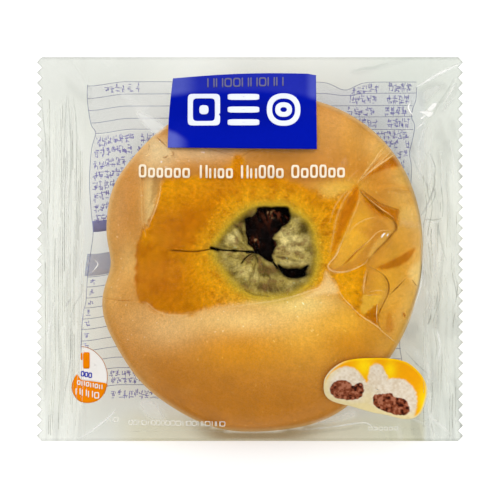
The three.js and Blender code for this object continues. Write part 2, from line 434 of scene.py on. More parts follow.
# Creases of the front film: path, height, width of the fold, then the line of light or shade it shows as:
# tone, width in pixels and strength
creases = [
    ([356, 184, 363, 175, 372, 163, 380, 152, 387, 143], 0.7, 1, "pale", 0.9, 0.65),
    ([358, 182, 370, 171, 382, 160, 392, 150.5], 0.5, 0.6, "pale", 0.7, 0.75),
    ([360, 180.5, 374, 168.5, 386, 160, 395.5, 153.5], 0.5, 0.6, "bright", 0.9, 0.6),
    ([360, 178.5, 371, 166, 382, 153, 389, 146], 0.3, 0.5, "pale", 0.6, 0.5),
    ([383, 189, 398, 190.5, 412, 192.5], -0.3, 0.9, "deep", 2.2, 0.2),
    ([357, 187, 361, 193, 367.5, 200, 380, 211, 390, 217.5, 395, 223, 395.7, 229, 393, 232.5, 385.7, 241,
      375.7, 251, 368.6, 259.5, 367, 266], -0.5, 0.7, "dark", 1.3, 0.6),
    ([359, 188.5, 368.8, 196, 380, 203.8, 391, 207.8, 399, 210.5], -0.4, 0.6, "dark", 1, 0.4),
    ([359, 190.5, 368, 199, 380, 208.5, 390, 215.3, 394, 219], 0.3, 0.4, "pale", 0.5, 0.6),
    ([398, 222, 410, 224, 421, 226], 0, 1, "pale", 4, 0.3),
    ([356, 185, 349, 192.5, 342.5, 202.5, 336, 218, 332.5, 236, 329, 256], 0.5, 0.7, "pale", 1.2, 0.28),
    ([350, 188, 341, 197, 334, 208, 329, 224], 0.3, 0.6, "pale", 1.2, 0.2),
    ([358.8, 192, 358.5, 200, 353, 215, 343, 237.5, 334, 255], 0.5, 0.7, "pale", 1.2, 0.28),
    ([345, 239, 352.5, 227.5, 364, 220, 375, 217.5], 0.4, 0.6, "pale", 0.9, 0.3),
    ([349, 228, 341.4, 242, 335.7, 255, 328.6, 263.6, 328, 268, 334.3, 271.6, 344.3, 271.6, 355.7, 268,
      364.3, 263, 367, 259], 0.7, 0.7, "bright", 0.9, 0.62),
    ([391, 231, 383, 230.5, 376, 233, 368.6, 240.7, 357, 250, 348, 258], 0.5, 0.6, "pale", 0.7, 0.6),
    ([367, 241.5, 357, 250.7, 348.6, 259.3, 341.4, 265.7], -0.4, 0.6, "deep", 1, 0.85),
    ([380.5, 238, 382.5, 235, 384.5, 233], 0.6, 0.4, "white", 0.9, 1),
    ([386, 236.5, 388, 233.5], 0.4, 0.4, "white", 0.6, 0.8),
    ([366.5, 267, 364.5, 276, 363, 286, 363, 294], 0.5, 0.6, "pale", 1, 0.55),
    ([368.3, 269, 366.3, 276.5, 364.5, 287], -0.3, 0.4, "dark", 0.5, 0.45),
    ([367, 266, 377, 270.5, 384.3, 276.4, 388, 283.6, 388, 292, 384.3, 300.7, 379.3, 310.7, 377.5, 318,
      378.6, 325, 381.5, 331], -0.5, 0.6, "dark", 0.75, 0.8),
    ([376.7, 303, 376, 313, 376.4, 323], 0.4, 0.4, "bright", 0.5, 0.8),
    ([368.6, 292, 376, 290.3, 383, 290.7], 0.3, 0.5, "pale", 0.7, 0.55),
    ([366, 295.5, 375, 294.5, 381, 296], 0.3, 0.5, "pale", 0.6, 0.4),
    ([324, 273, 334, 280, 337, 288, 343, 298, 350, 305, 360, 315, 375.7, 325.3, 383, 332, 394, 341, 400, 346],
      0.5, 0.7, "bright", 0.8, 0.42),
    ([388.6, 295, 397, 287, 405.7, 278], -0.3, 0.6, "dark", 0.5, 0.6),
    ([411.4, 279.3, 417, 286.4], -0.2, 0.5, "dark", 0.5, 0.5),
    ([403, 312, 405, 318], -0.2, 0.6, "deep", 1.2, 0.6),
    ([420, 236, 422, 252, 422.5, 268, 421, 284, 416, 300, 409, 318, 401, 334], 0, 1, "bright", 1, 0.45),
    ([138, 160, 141, 182.5, 142, 200, 142.5, 217.5, 145, 230, 146.5, 237], 0.5, 0.7, "pale", 0.7, 0.35),
    ([139.5, 160, 142.5, 182.5, 143.5, 200, 144, 215], -0.2, 0.4, "deep", 0.5, 0.3),
    ([161.5, 179, 160.5, 192.5, 156.5, 207.5, 151.5, 220, 147.5, 230], 0.6, 0.8, "bright", 0.8, 0.42),
    ([157, 137.5, 162, 142, 167.5, 147.5], -0.4, 0.6, "dark", 0.6, 0.6),
    ([149, 144, 149.5, 148, 148, 151], -0.2, 0.4, "dark", 0.4, 0.5),
    ([146, 156, 149, 154.5, 152, 155], 0.2, 0.5, "bright", 0.8, 0.6),
    ([163, 158, 166, 157.5, 169, 155.5], 0.3, 0.6, "dark", 1, 0.45),
    ([171, 157, 174, 154.5, 172, 151], 0.3, 0.6, "dark", 1.1, 0.4),
    ([242, 157, 248, 153, 258, 149], 0.1, 0.6, "dark", 0.8, 0.2),
    ([234, 157, 216, 151, 200, 148], 0.1, 0.6, "dark", 0.6, 0.2),
    ([102.5, 297.5, 120, 300, 140, 300], 0, 1, "deep", 0.7, 0.3),
    ([141, 301, 148, 303, 156, 310, 166, 314, 181, 315, 196, 314], 0.3, 0.8, "bright", 1, 0.22),
    ([210, 309, 250, 304, 282, 299, 306, 292, 320, 286, 325, 273], 0.3, 0.8, "bright", 1, 0.3),
    ([415, 88, 426, 81.5, 436.7, 75, 448, 69.5, 462, 63], 0.7, 0.8, "white", 1.3, 1),
    ([422, 84.5, 432, 79, 442, 72.5], 0.3, 0.6, "white", 0.7, 0.8),
    ([411.7, 100.7, 408.3, 106.7, 410, 111.7, 413.3, 115.5], 0.5, 0.6, "white", 1, 1),
    ([454, 79, 447, 91.5, 438, 105, 433, 116], 0.4, 0.9, "dark", 1.3, 0.14),
    ([456, 82, 450, 93, 442, 106], 0.4, 0.7, "pale", 1, 0.5),
    ([430, 153, 435, 166.7, 434.5, 176, 434, 187, 427, 205, 420, 217], 0.8, 0.9, "dark", 0.9, 0.42),
    ([352, 72, 362, 69, 374, 67.5, 388, 63], 0.3, 1.6, "dark", 1.4, 0.1),
    ([428, 152, 433, 163, 434, 170, 432, 180], 0.4, 0.6, "pale", 0.8, 0.45),
    ([431, 185, 433, 194, 426, 209, 423, 215], 0.5, 0.8, "pale", 0.8, 0.45),
    ([434, 187, 435, 196, 429, 208], 0.4, 0.8, "dark", 0.7, 0.35),
    ([428, 119, 422, 124, 416, 129], 0.4, 0.6, "pale", 0.7, 0.6),
    ([427, 123, 422, 134, 418, 149], 0.5, 0.9, "pale", 0.8, 0.3),
    ([412, 156, 418, 170, 426, 183, 429, 190], 0.5, 0.9, "dark", 0.8, 0.18),
    ([450, 139, 453, 158, 455, 178], 0.5, 0.9, "white", 0.9, 0.45),
    ([440, 148, 442, 170, 441, 192], 0.4, 0.8, "pale", 0.9, 0.4),
    ([424, 219, 434, 220, 442, 218], 0.5, 0.8, "dark", 0.8, 0.25),
    ([424, 221, 434, 222.5, 442, 220], 0.3, 0.6, "white", 0.6, 0.35),
    ([437, 223, 440, 236, 443, 250, 447, 262], 0.5, 0.9, "dark", 0.8, 0.22),
    ([431, 314, 430, 319, 428, 325], 0.6, 0.8, "dark", 0.8, 0.45),
    ([422, 263, 424, 280, 429, 300, 432, 312], 0.5, 0.9, "pale", 1, 0.35),
    ([403, 348, 411, 358, 422, 369, 431, 376], 0.4, 0.8, "dark", 0.6, 0.3),
    ([436, 327, 440, 345, 437, 365], 0.5, 0.7, "white", 1.2, 0.45),
    ([434, 330, 437, 348, 435, 360], 0.3, 0.6, "dark", 0.7, 0.25),
    ([449, 381, 450, 392, 451, 403], 0.4, 0.6, "dark", 0.6, 0.25),
    ([425, 413, 435, 421, 444, 428, 452, 437], 0.5, 0.9, "pale", 1.6, 0.35),
    ([72, 60, 84, 78, 92, 90], 0.2, 2, "pale", 1.2, 0.15),
    ([78, 440, 94, 429, 109, 417, 116, 409], 0.6, 1, "white", 0.9, 0.55),
    ([81, 281, 82, 292, 73, 309, 71, 329, 71, 352, 68, 377, 64, 397, 60, 435], 0.5, 0.9, "dark", 0.7, 0.22),
    ([79, 250, 80, 268, 80, 284, 78, 296], 0.5, 0.9, "white", 0.8, 0.35),
    ([90, 275, 95, 269, 98, 264, 94, 259], 0.4, 0.5, "white", 0.6, 0.7),
    ([73, 95, 76, 120, 77, 150, 76, 190, 78, 230], 0.5, 0.9, "dark", 0.7, 0.24),
    ([67, 95, 65, 125, 64, 160, 62, 200, 60, 248], 0.4, 0.7, "dark", 0.7, 0.26),
    ([68, 96, 70, 125, 71, 160, 69, 200, 66, 248], 0.4, 0.7, "dark", 0.7, 0.26),
    ([67, 112, 67, 160, 66, 210, 63, 250], 0.4, 0.6, "white", 0.8, 0.3),
    ([41, 95, 43, 115, 46, 150, 46, 180], 0.4, 0.7, "dark", 0.6, 0.22),
    ([52, 316, 49, 328, 47, 340], 0.5, 0.8, "white", 1, 0.45),
    ([72, 296, 66, 306, 70, 300], 0.5, 0.8, "white", 1, 0.4),
    ([441, 436, 424, 424, 408, 417], 0.5, 1, "pale", 1.5, 0.25),
    ([130, 431, 190, 430, 246, 432, 300, 429, 360, 424, 420, 430], 0.3, 0.8, "pale", 0.9, 0.1),
    ([298, 430, 330, 427, 362, 422.5, 372, 426, 384, 433], 0.3, 0.8, "white", 0.8, 0.45),
    ([300, 433, 332, 430.5, 360, 427], 0, 1, "dark", 1.6, 0.16),
]
creasePaths = rounded(creases, 4, False)


def creaseRelief(x, y):
    return sum(height * np.exp(-pathDistance(x, y, path) / width)
               for path, height, width, *shown in creasePaths if height)


# Painted light and shade of the film's folds, laid on the crust in whole fields between the folds: outline,
# colour, strength, softness
foldLightAndShade = rounded([
    ([364, 173.8, 370, 159, 382, 141, 388, 145, 380, 156, 370, 167], (222, 168, 84), 0.55, 0.5),
    ([366, 176.5, 373, 171, 385, 163, 396, 156, 403, 164, 390, 168, 376, 172.5], (190, 106, 6), 0.9, 0.5),
    ([367, 178, 380, 180, 396, 184, 412, 188, 412, 191, 394, 187, 378, 183], (196, 128, 40), 0.5, 0.7),
    ([360, 190, 369, 196.5, 380, 204.5, 391, 208.5, 399, 211, 397, 217, 396, 222, 390, 217, 380, 210.5,
      368, 200], (184, 104, 8), 0.85, 0.5),
    ([363, 200, 372.5, 204.5, 382.5, 213, 388, 218, 380, 216.5, 372, 212], (192, 112, 10), 0.75, 0.5),
    ([399, 212, 408, 207, 418, 203, 422, 216, 421, 230, 410, 228, 400, 221], (232, 192, 130), 0.4, 1.6),
    ([320, 190, 338, 188, 350, 188, 342, 198, 330, 199, 320, 198], (232, 180, 76), 0.6, 1.2),
    ([356.5, 187, 350, 195.5, 345, 203, 339, 219, 335, 236, 331, 254, 336, 247, 340, 238, 346.5, 223,
      354, 208, 358, 196], (200, 114, 2), 0.9, 0.5),
    ([349, 230, 368, 238, 366, 246, 357, 256, 350, 262, 336, 268, 331, 266, 338, 254], (236, 174, 56), 0.65,
      0.5),
    ([383, 233.5, 391, 232, 386, 239, 376, 249.5, 369, 258, 368, 254, 373, 244.5], (244, 192, 108), 0.55,
      0.5),
    ([363, 294.5, 371, 295.5, 380, 295, 381, 299, 377, 303.5, 368.6, 309.3, 363, 313.6, 359.5, 308, 362, 301],
      (238, 182, 66), 0.8, 0.25),
    ([376, 304, 376.5, 314, 376, 324.5, 369, 320, 363.5, 316, 370, 310], (190, 114, 10), 0.9, 0.25),
    ([376, 267.5, 387, 262, 400, 255.5, 413.6, 248.6, 411.5, 255, 404.3, 263, 391.4, 268.3, 382, 269],
      (182, 106, 8), 0.9, 0.5),
    ([408, 273, 412, 266, 422, 262, 423, 276, 419, 288, 412, 281], (244, 214, 160), 0.5, 1.2),
    ([382, 290, 394, 288, 404, 282, 408, 290, 398, 300, 386, 308, 380, 304], (222, 166, 84), 0.4, 1.2),
    ([388, 312, 391, 317, 393, 330, 386, 331, 386, 320], (204, 126, 16), 0.75, 0.6),
    ([326, 272, 331, 279, 337, 288, 336, 293, 322, 294, 306, 297, 318, 288, 324, 280], (252, 214, 146), 0.7,
      1),
    ([153.8, 178, 160, 178, 159, 190, 155, 198, 151, 206, 151.5, 195], (166, 118, 52), 0.6, 0.4),
    ([152, 206, 156, 205, 151, 219, 147, 228, 146, 222], (234, 196, 128), 0.7, 0.4),
    ([150, 140, 156, 137.5, 163, 144, 171, 151, 165, 157, 156, 153, 150, 148], (226, 192, 142), 0.75, 0.4),
    ([234, 157, 242, 157, 241, 172, 238, 182, 234, 176], (206, 124, 10), 0.85, 0.5),
], 3)


def paintFoldLightAndShade(colour, x, y):
    for path, tone, strength, soft in foldLightAndShade:
        near = (abs(x - path[:, 0].mean()) < 16) & (abs(y - path[:, 1].mean()) < 16)
        depth = insideDepth(x[near], y[near], path) + 0.15 * noise(x[near], y[near], 0.8, 91)
        colour[near] = over(colour[near], tone, strength * smooth(-soft, soft, depth))
    return colour


film = {
    "columns": 308,
    "rows": 222,                              # six for each tooth
    "gap": 0.9,                               # how far it stands off the crust where it isn't tight
    "sag": 1.4,                               # into the crater
    "sagCentre": (4.5, -0.4),
    "crumple": 0.5,
    "backCrumple": 0.6,
    "haze": 0.03,
    "sealHaze": 0.08,
    # painted sheen of the film where it stands off the crust
    "veil": 0.008,
    # streaks and facets: pale ones are painted light in the milky share, dark ones are painted shade
    "streaks": (0.16, 0.22),                  # in the seals: how milky pale ones are, how grey dark ones
    "facets": (0.12, 0.09),                   # the same for the crinkled film at the right
    "milk": (0.86, 0.86, 0.82, 1),
    "gloss": 0.003,                           # mirror share seen straight on
    "edgeGloss": 0.13,                        # added where it turns away
    "roughness": 0.09,
    "tint": (0.948, 0.96, 0.932),
    "outerGrey": 0.19,                        # film over nothing but the floor looks this much darker
    "cornerGrey": 0.05,
    "sideGreen": (0.98, 1, 0.985),
    "labelCool": (0.99, 0.99, 1.04),
    # painted shadow and reflection of the bun's brown side, on the back film just below it
    "bunShadeAndReflection": (0.36, 0.235, 0.05),
    # painted reflection of the crust in the film along the low side
    "lowCrustReflection": (0.93, 0.89, 0.76),           # along the low side it takes the crust's colour
    "ribPitch": 1.75,
    "ribHeight": 0.22,
    "sealStep": 0.06,                         # each skin in the seals, off the middle level
    "streakShare": 0.7,
    "rightGreys": (0.03, 0.06),
    "bunShadeAndReflectionShare": 0.82,
    "zones": {
        "leftRipple": [("y", 58, 40)],
        "leftRippleTop": [("y", -15, 12)],
        "rightRipple": [("y", 34, 18)],
        "leftStreaks": [("y", 50, 30)],
        "rightStreaks": [("y", 36, 16)],
        "crinkles": [("y", 50, 36)],
        "sealCrinkles": [("x", 30, 46)],
        "rightGrey": [("x", 40, 56)],
        "lowRightGrey": [("x", 48, 58), ("y", 10, -40)],
        "besideTop": [("y", -10, 20)],
        "beside": [("x", 0, -20), ("y", -56, -42)],
        "sideGreen": [("x", 34, 44)],
        "labelCool": [("x", 18, 26), ("y", 24, 32), ("y", 53, 50)],
        "lowCrustReflection": [("y", -50, -58), ("x", -48, -34)],
        "bunShadeAndReflection": [("y", -48, -57), ("x", -24, -8), ("x", 34, 10)],
    },
}


# Flat facets of the crinkled film beside the bun, as painted reflection and shade: outline, milkiness of the
# painted reflection (painted shade if negative), softness
facets = rounded([
    ([44, 60, 58, 60, 86, 86, 92, 95, 82, 92, 66, 76], 0.07, 0.8),
    ([100, 58, 110, 58, 122, 74, 136, 90, 146, 98, 150, 104, 140, 100, 124, 86, 112, 72], 0.08, 0.8),
    ([114, 86, 124, 90, 134, 99, 142, 105, 150, 106, 142, 112, 132, 106, 122, 97], 0.18, 0.9),
    ([136, 112, 150, 116, 162, 124, 170, 134, 165, 140, 154, 134, 143, 124], 0.36, 1),
    ([66, 78, 80, 90, 92, 97, 90, 104, 80, 100, 68, 88], -0.05, 0.9),
    ([350, 72, 362, 69, 380, 64, 405, 58, 412, 60, 392, 66, 374, 71, 360, 75], -0.05, 0.7),
    ([418, 92, 424, 86, 436, 82, 446, 84, 446, 90, 438, 92, 430, 98, 424, 106, 419, 104], -0.07, 0.6),
    ([423, 93, 433, 87, 441, 87, 432, 96, 425, 102], 0.14, 0.5),
    ([430, 120, 437, 112, 450, 98, 455, 95, 452, 110, 444, 125, 436, 136, 430, 150, 424, 152, 424, 138], 0.1,
      0.7),
    ([437, 105, 446, 96, 455, 84, 458, 90, 452, 102, 443, 114], -0.06, 0.6),
    ([416, 152, 426, 152, 433, 162, 434, 176, 428, 186, 420, 182, 416, 168], 0.12, 0.8),
    ([437, 150, 446, 140, 452, 148, 450, 176, 442, 196, 436, 190, 439, 170], -0.06, 0.8),
    ([139, 402, 150, 399, 158, 404, 163, 412, 166, 420, 154, 420, 144, 414], 0.22, 0.8),
    ([305, 418, 330, 417, 352, 410, 356, 416, 340, 422, 318, 424], 0.2, 0.7),
    ([424, 232, 434, 228, 440, 246, 442, 268, 436, 280, 430, 262], 0.12, 0.8),
    ([426, 300, 436, 296, 440, 318, 434, 330, 428, 320], -0.08, 0.8),
    ([410, 345, 420, 352, 432, 368, 436, 384, 428, 378, 416, 362], 0.1, 0.8),
], 3)


def inSeals(x):
    return (x < leftInner) | (x > rightInner)


def fromEdge(x, y):
    return np.minimum(np.minimum(x - leftInner, rightInner - x), pack["halfWidth"] - abs(y))


def fromCrater(x, y):
    return np.hypot(x - film["sagCentre"][0], y - film["sagCentre"][1])


def sealRipple(x, y):
    # crimp lines run along the seals, clear in the middle and faint towards the corners
    left, right = smooth(leftInner + 1.5, leftInner - 1.5, x), smooth(rightInner - 1.5, rightInner + 1.5, x)
    wander = x + 0.5 * noise(x * 0.2, y, 16, 12)
    wave = np.cos(2 * np.pi * wander / film["ribPitch"]) * (0.65 + 0.35 * noise(x * 4, y, 14, 14))
    left = left * zone(film, "leftRipple", x, y) * mix(0.45, 1, zone(film, "leftRippleTop", x, y))
    return film["ribHeight"] * wave * (left + 0.8 * right * zone(film, "rightRipple", x, y))


def frontSurface(x, y):
    share = bunShare(x, y)
    crumple = noise(x, y, 13, 2, 2) + 0.5 * (0.5 - abs(noise(x, y, 7, 8)))
    relief = creaseRelief(x, y) + film["crumple"] * smooth(0.8, 1.02, share) * crumple
    lift = film["gap"] * (1 - contactAt(x, y)) * smooth(1, 0.7, share)
    sag = film["sag"] * smooth(18, 6, fromCrater(x, y))
    z = frontDrape(x, y) + smooth(0, 5, fromEdge(x, y)) * relief + lift - sag
    bunTop = np.where(share < 1, crownHeight(share), 0) - bun["under"]
    z = np.where(share < 0.995, np.maximum(z, bunTop + 0.15), z)
    z = np.where(inSeals(x), pack["edgeLevel"] + film["sealStep"], np.maximum(z, pack["edgeLevel"] + 0.06))
    return z + sealRipple(x, y)


def backSurface(x, y):
    share = bunShare(x, y)
    loose = smooth(0.85, 1.05, share) * smooth(0, 6, fromEdge(x, y))
    fin = pack["finThickness"] * smooth(pack["finWidth"] / 2 + 0.4, pack["finWidth"] / 2 - 0.4, abs(y))
    z = backDrape(x, y) + loose * film["backCrumple"] * noise(x, y, 15, 31, 2) - fin * smooth(0.85, 1, share)
    z = np.maximum(np.where(share < 0.995, np.minimum(z, underHeight(share) - 0.05), z), 0.05)
    z = np.where(inSeals(x), pack["edgeLevel"] - film["sealStep"], np.minimum(z, pack["edgeLevel"] - 0.06))
    return z + sealRipple(x, y)


print("forms ready")


# Film: front and back skins joined along the sides and at the cut ends, in one closed mesh

def filmShader(tree):
    facing = addNode(tree, "LayerWeight", {"Blend": 0.5}, "Facing")
    turned = mathNode(tree, "POWER", facing, 3)
    gloss = mathNode(tree, "MULTIPLY_ADD", turned, film["edgeGloss"], film["gloss"])
    return clearShader(tree, heldNode(tree, "haze", "Fac"), heldNode(tree, "tint"), film["milk"], gloss,
                       film["roughness"])


def filmTones(x, y, onFront):
    # haze: milky share; through: what the clear share lets through
    share = bunShare(x, y)
    off = smooth(0.98, 1, share)
    inSeal = np.maximum(smooth(leftInner + 1, leftInner - 1, x), smooth(rightInner - 1, rightInner + 1, x))
    streak = noise(x + 1.6 * noise(x * 0.25, y, 24, 81), y * 0.055, 0.95, 82, 2)
    streakZones = (zone(film, name, x, y) for name in ("leftStreaks", "rightStreaks"))
    streaked = film["streakShare"] * inSeal * mix(*streakZones, smooth(0, 1, x))
    facet = noise(x * 1.7 + 0.3 * y, y * 0.6, 5, 83, 2) * zone(film, "crinkles", x, y)
    inGap = off * (1 - inSeal) * smooth(0.72, 0.84, x / rightInner)
    inGap = inGap + 0.7 * inSeal * zone(film, "sealCrinkles", x, y)
    backHaze = film["haze"] + inSeal * film["sealHaze"]
    pale, dark = film["streaks"]
    facetPale, facetDark = film["facets"]
    # pale seal streaks and crinkles in the gap: painted light
    haze = backHaze + pale * np.clip(streak, 0, 1) * streaked + facetPale * smooth(0.1, 0.8, facet) * inGap
    # painted sheen where the film stands off the crust
    veil = film["veil"] * (1 - np.maximum(contactAt(x, y), smooth(22, 17, fromCrater(x, y))))
    haze = haze + (1 - off) * (veil - film["haze"])
    # dark seal streaks and crinkles in the gap: painted shade
    grey = dark * np.clip(-streak, 0, 1) * streaked + facetDark * smooth(0.1, 0.8, -facet) * inGap
    # each facet's painted reflection goes to the haze, its painted shade to grey
    for outline, pale, soft in facets:
        shown = pale * smooth(-soft, soft, insideDepth(x, y, outline)) * off
        haze, grey = haze + np.maximum(shown, 0), grey + np.maximum(-shown, 0)
    rightGrey, lowRightGrey = film["rightGreys"]
    grey = grey + rightGrey * off * zone(film, "rightGrey", x, y)
    grey = grey + lowRightGrey * zone(film, "lowRightGrey", x, y)
    grey = grey + film["cornerGrey"] * smooth(44, 54, y) * smooth(18, 40, abs(x + 2))
    beside = smooth(1.42, 1.03, share) * mix(0.5, 1, zone(film, "besideTop", x, y))
    beside = beside * zone(film, "beside", x, y)
    grey = grey + film["outerGrey"] * off * (1 - 0.6 * streaked) * (1 - 0.8 * beside)
    through = np.array(film["tint"]) * (1 - np.clip(grey, 0, 0.9) * onFront)[:, None]
    free = off * (1 - inSeal)
    # the low tint is a painted reflection of the crust
    for tint, place in (("sideGreen", off), ("labelCool", free), ("lowCrustReflection", free)):
        shown = place * zone(film, tint, x, y) * onFront
        through = through * mix(1, np.array(film[tint]), shown[:, None])
    # painted shadow and reflection of the bun on the back film, just below its low edge
    under = smooth(1, 1.01, share) * smooth(1.13, 1.03, share) * zone(film, "bunShadeAndReflection", x, y)
    under = film["bunShadeAndReflectionShare"] * under * ~onFront
    through = mix(through, np.array(film["bunShadeAndReflection"]), under[:, None])
    return np.clip(np.where(onFront, haze, backHaze), 0, 1), np.clip(through, 0, 1)


def filmGrid():
    # straight lines, but for the last ones, which end at the teeth
    x, y = np.meshgrid(*(np.linspace(-half, half, count + 1) for half, count in (
        (pack["halfLength"], film["columns"]), (pack["halfWidth"], film["rows"]))))
    start = pack["halfLength"] - pack["toothRoom"]
    phase = (y + pack["halfWidth"]) / (2 * pack["halfWidth"] / pack["teeth"])
    end = pack["halfLength"] - pack["toothDepth"] * abs(2 * (phase - np.floor(phase + 1e-6)) - 1)
    outer = start + (abs(x) - start) * (end - start) / pack["toothRoom"]
    return np.where(abs(x) > start, np.sign(x) * outer, x), y


def buildFilm():
    x, y = filmGrid()
    front, back = frontSurface(x, y), backSurface(x, y)
    rim = np.ones(x.shape, bool)
    rim[1:-1, 1:-1] = False
    front[rim] = pack["edgeLevel"] + sealRipple(x, y)[rim]
    index = np.arange(x.size).reshape(x.shape)
    faces = gridFaces(index).tolist()

    inner = ~rim                               # the back keeps every second line inside the rim
    inner[1::2] = inner[:, 1::2] = False
    backIndex = np.where(rim, index, -1)
    backIndex[inner] = x.size + np.arange(inner.sum())
    around = ((0, 0), (1, 0), (2, 0), (2, 1), (2, 2), (1, 2), (0, 2), (0, 1))
    for row in range(0, film["rows"], 2):
        for column in range(0, film["columns"], 2):
            ring = [int(backIndex[row + a, column + b]) for a, b in around]
            faces.append([k for k in ring if k >= 0])
    points = np.column_stack([np.append(a.ravel(), b[inner]) for a, b in ((x, x), (y, y), (front, back))])
    piece = meshPiece("film", points, faces, newMaterial("clear_film", filmShader))

    haze, through = filmTones(points[:, 0], points[:, 1], np.arange(len(points)) < x.size)
    setValues(piece, haze, "haze")
    setColours(piece, through, "tint")
    return piece


filmPiece = buildFilm()
print("film built:", len(filmPiece.data.polygons), "faces")


# Bun: one closed mesh, with the torn crater in its top

crater = {
    "outline": [
        212.5, 248.3, 221.7, 235, 230.8, 223, 239, 215.8, 248, 209, 257.5, 206.5, 273, 206, 286.7, 206.5,
        293, 211, 307, 221, 311, 228.3, 315.5, 243, 317, 258, 314, 272.5, 307.7, 284, 294, 294, 280.5, 297.3,
        265, 297.5, 249.7, 294.3, 239.3, 288.3, 229.7, 278.5, 221.5, 268.2, 215.8, 258],
    "hole": [
        245, 220, 248, 217.5, 253, 216, 256.5, 212, 258, 207.5, 272, 207, 286.7, 207.5, 289.5, 211.7,
        290, 218, 286.7, 224, 281.7, 227, 280, 230.5, 275, 234, 272.5, 238, 275.8, 241.7, 276.7, 245,
        274, 250, 271.7, 255, 272.8, 260, 269.5, 261.5, 265, 259, 260, 255, 255, 251.5, 253, 248, 248.3, 244,
        247.3, 238, 245.6, 228],
    "slit": [
        278, 264.5, 281.7, 266.7, 288, 268.3, 300, 268.3, 308.5, 265, 305.5, 270.8, 305.8, 275, 300, 277.8,
        293, 278.6, 286.7, 277, 281.7, 272.8, 279, 268.5],
    "cracks": [                               # path, depth, width
        ([211.5, 248, 214, 248.6, 217.5, 249.6], 1, 0.5),
        ([213, 248.8, 222, 250, 238, 251, 256, 252], 0.8, 0.22),
        ([233, 250.6, 236, 250.9], 0.8, 0.4),
        ([247, 252, 252, 252, 257, 253], 0.9, 0.45),
        ([241.7, 263, 246, 257.5, 252, 253.5], 0.6, 0.22),
        ([172, 250.5, 181, 251, 196, 251.5, 212, 249], 0.5, 0.2),
        ([255, 255, 257, 259, 257.5, 262], 0.35, 0.25),
        ([272, 261, 275, 265, 277, 268], 0.8, 0.3),
        ([276, 257, 288, 259, 300, 262], 0.3, 0.4),
        ([235, 225, 241, 232, 246, 240], 0.25, 0.4),
        ([245, 289.5, 253, 294, 262, 295, 268, 296], 0.3, 0.3),
    ],
    "mounds": [                               # middle, radii, height
        ((293, 241), (18, 14), 2.4), ((299, 218), (9, 8), 1), ((232, 238), (9, 11), 1.5),
        ((250, 273), (16, 12), 1.7), ((268, 283), (14, 9), 1.3), ((292, 262), (12, 5), 1.4),
        ((224, 256), (9, 6), 0.8), ((247, 213), (7, 5), 0.6),
    ],
    "centre": (4.55, -0.3),
    "pleatsFrom": (256, 254),
    "lip": 3,
    "holeDepth": 10,
    "crackDepth": 1.6,
    "smoothPatch": ((292, 242), (24, 26)),    # the pleats are faint here
}


def craterFields(x, y):
    # depth below the crown, and the masks that the colours need
    near = np.hypot(x - crater["centre"][0], y - crater["centre"][1])

    def within(name, limit, rough, size, seed):
        depth = np.where(near < limit, insideDepth(x, y, roundPath(crater[name], 4)), -9)
        return depth + rough * noise(x, y, size, seed, 2)

    inside, hole = within("outline", 26, 0.25, 2.2, 21), within("hole", 24, 0.16, 0.9, 22)
    slit = within("slit", 24, 0.12, 0.9, 23)
    torn = smooth(-0.2, 2.4, inside)
    depth = crater["lip"] * torn + 0.10 * np.clip(inside, 0, 12) - torn * blobs(x, y, crater["mounds"])
    turn, reach = around(x, y, crater["pleatsFrom"])
    pleat = noise(turn * 6.2 + 0.12 * reach, reach * 0.25, 1, 24, 3)
    pleat = pleat * (1 - 0.75 * blob(x, y, *crater["smoothPatch"]))
    depth = depth + (0.32 * pleat + 0.14 * noise(x, y, 0.8, 25, 2)) * torn
    crack = 0
    for path, deep, width in rounded(crater["cracks"], 4, False):
        line = deep * np.exp(-(np.where(near < 34, pathDistance(x, y, path), 9) / width) ** 2)
        depth = depth + crater["crackDepth"] * line
        crack = np.maximum(crack, line)
    open1, open2 = smooth(-0.15, 0.5, hole), smooth(-0.1, 0.45, slit)
    depth = depth + crater["holeDepth"] * (open1 + 0.7 * open2)
    return depth, inside, np.maximum(open1, open2), crack, pleat, np.maximum(hole, slit)
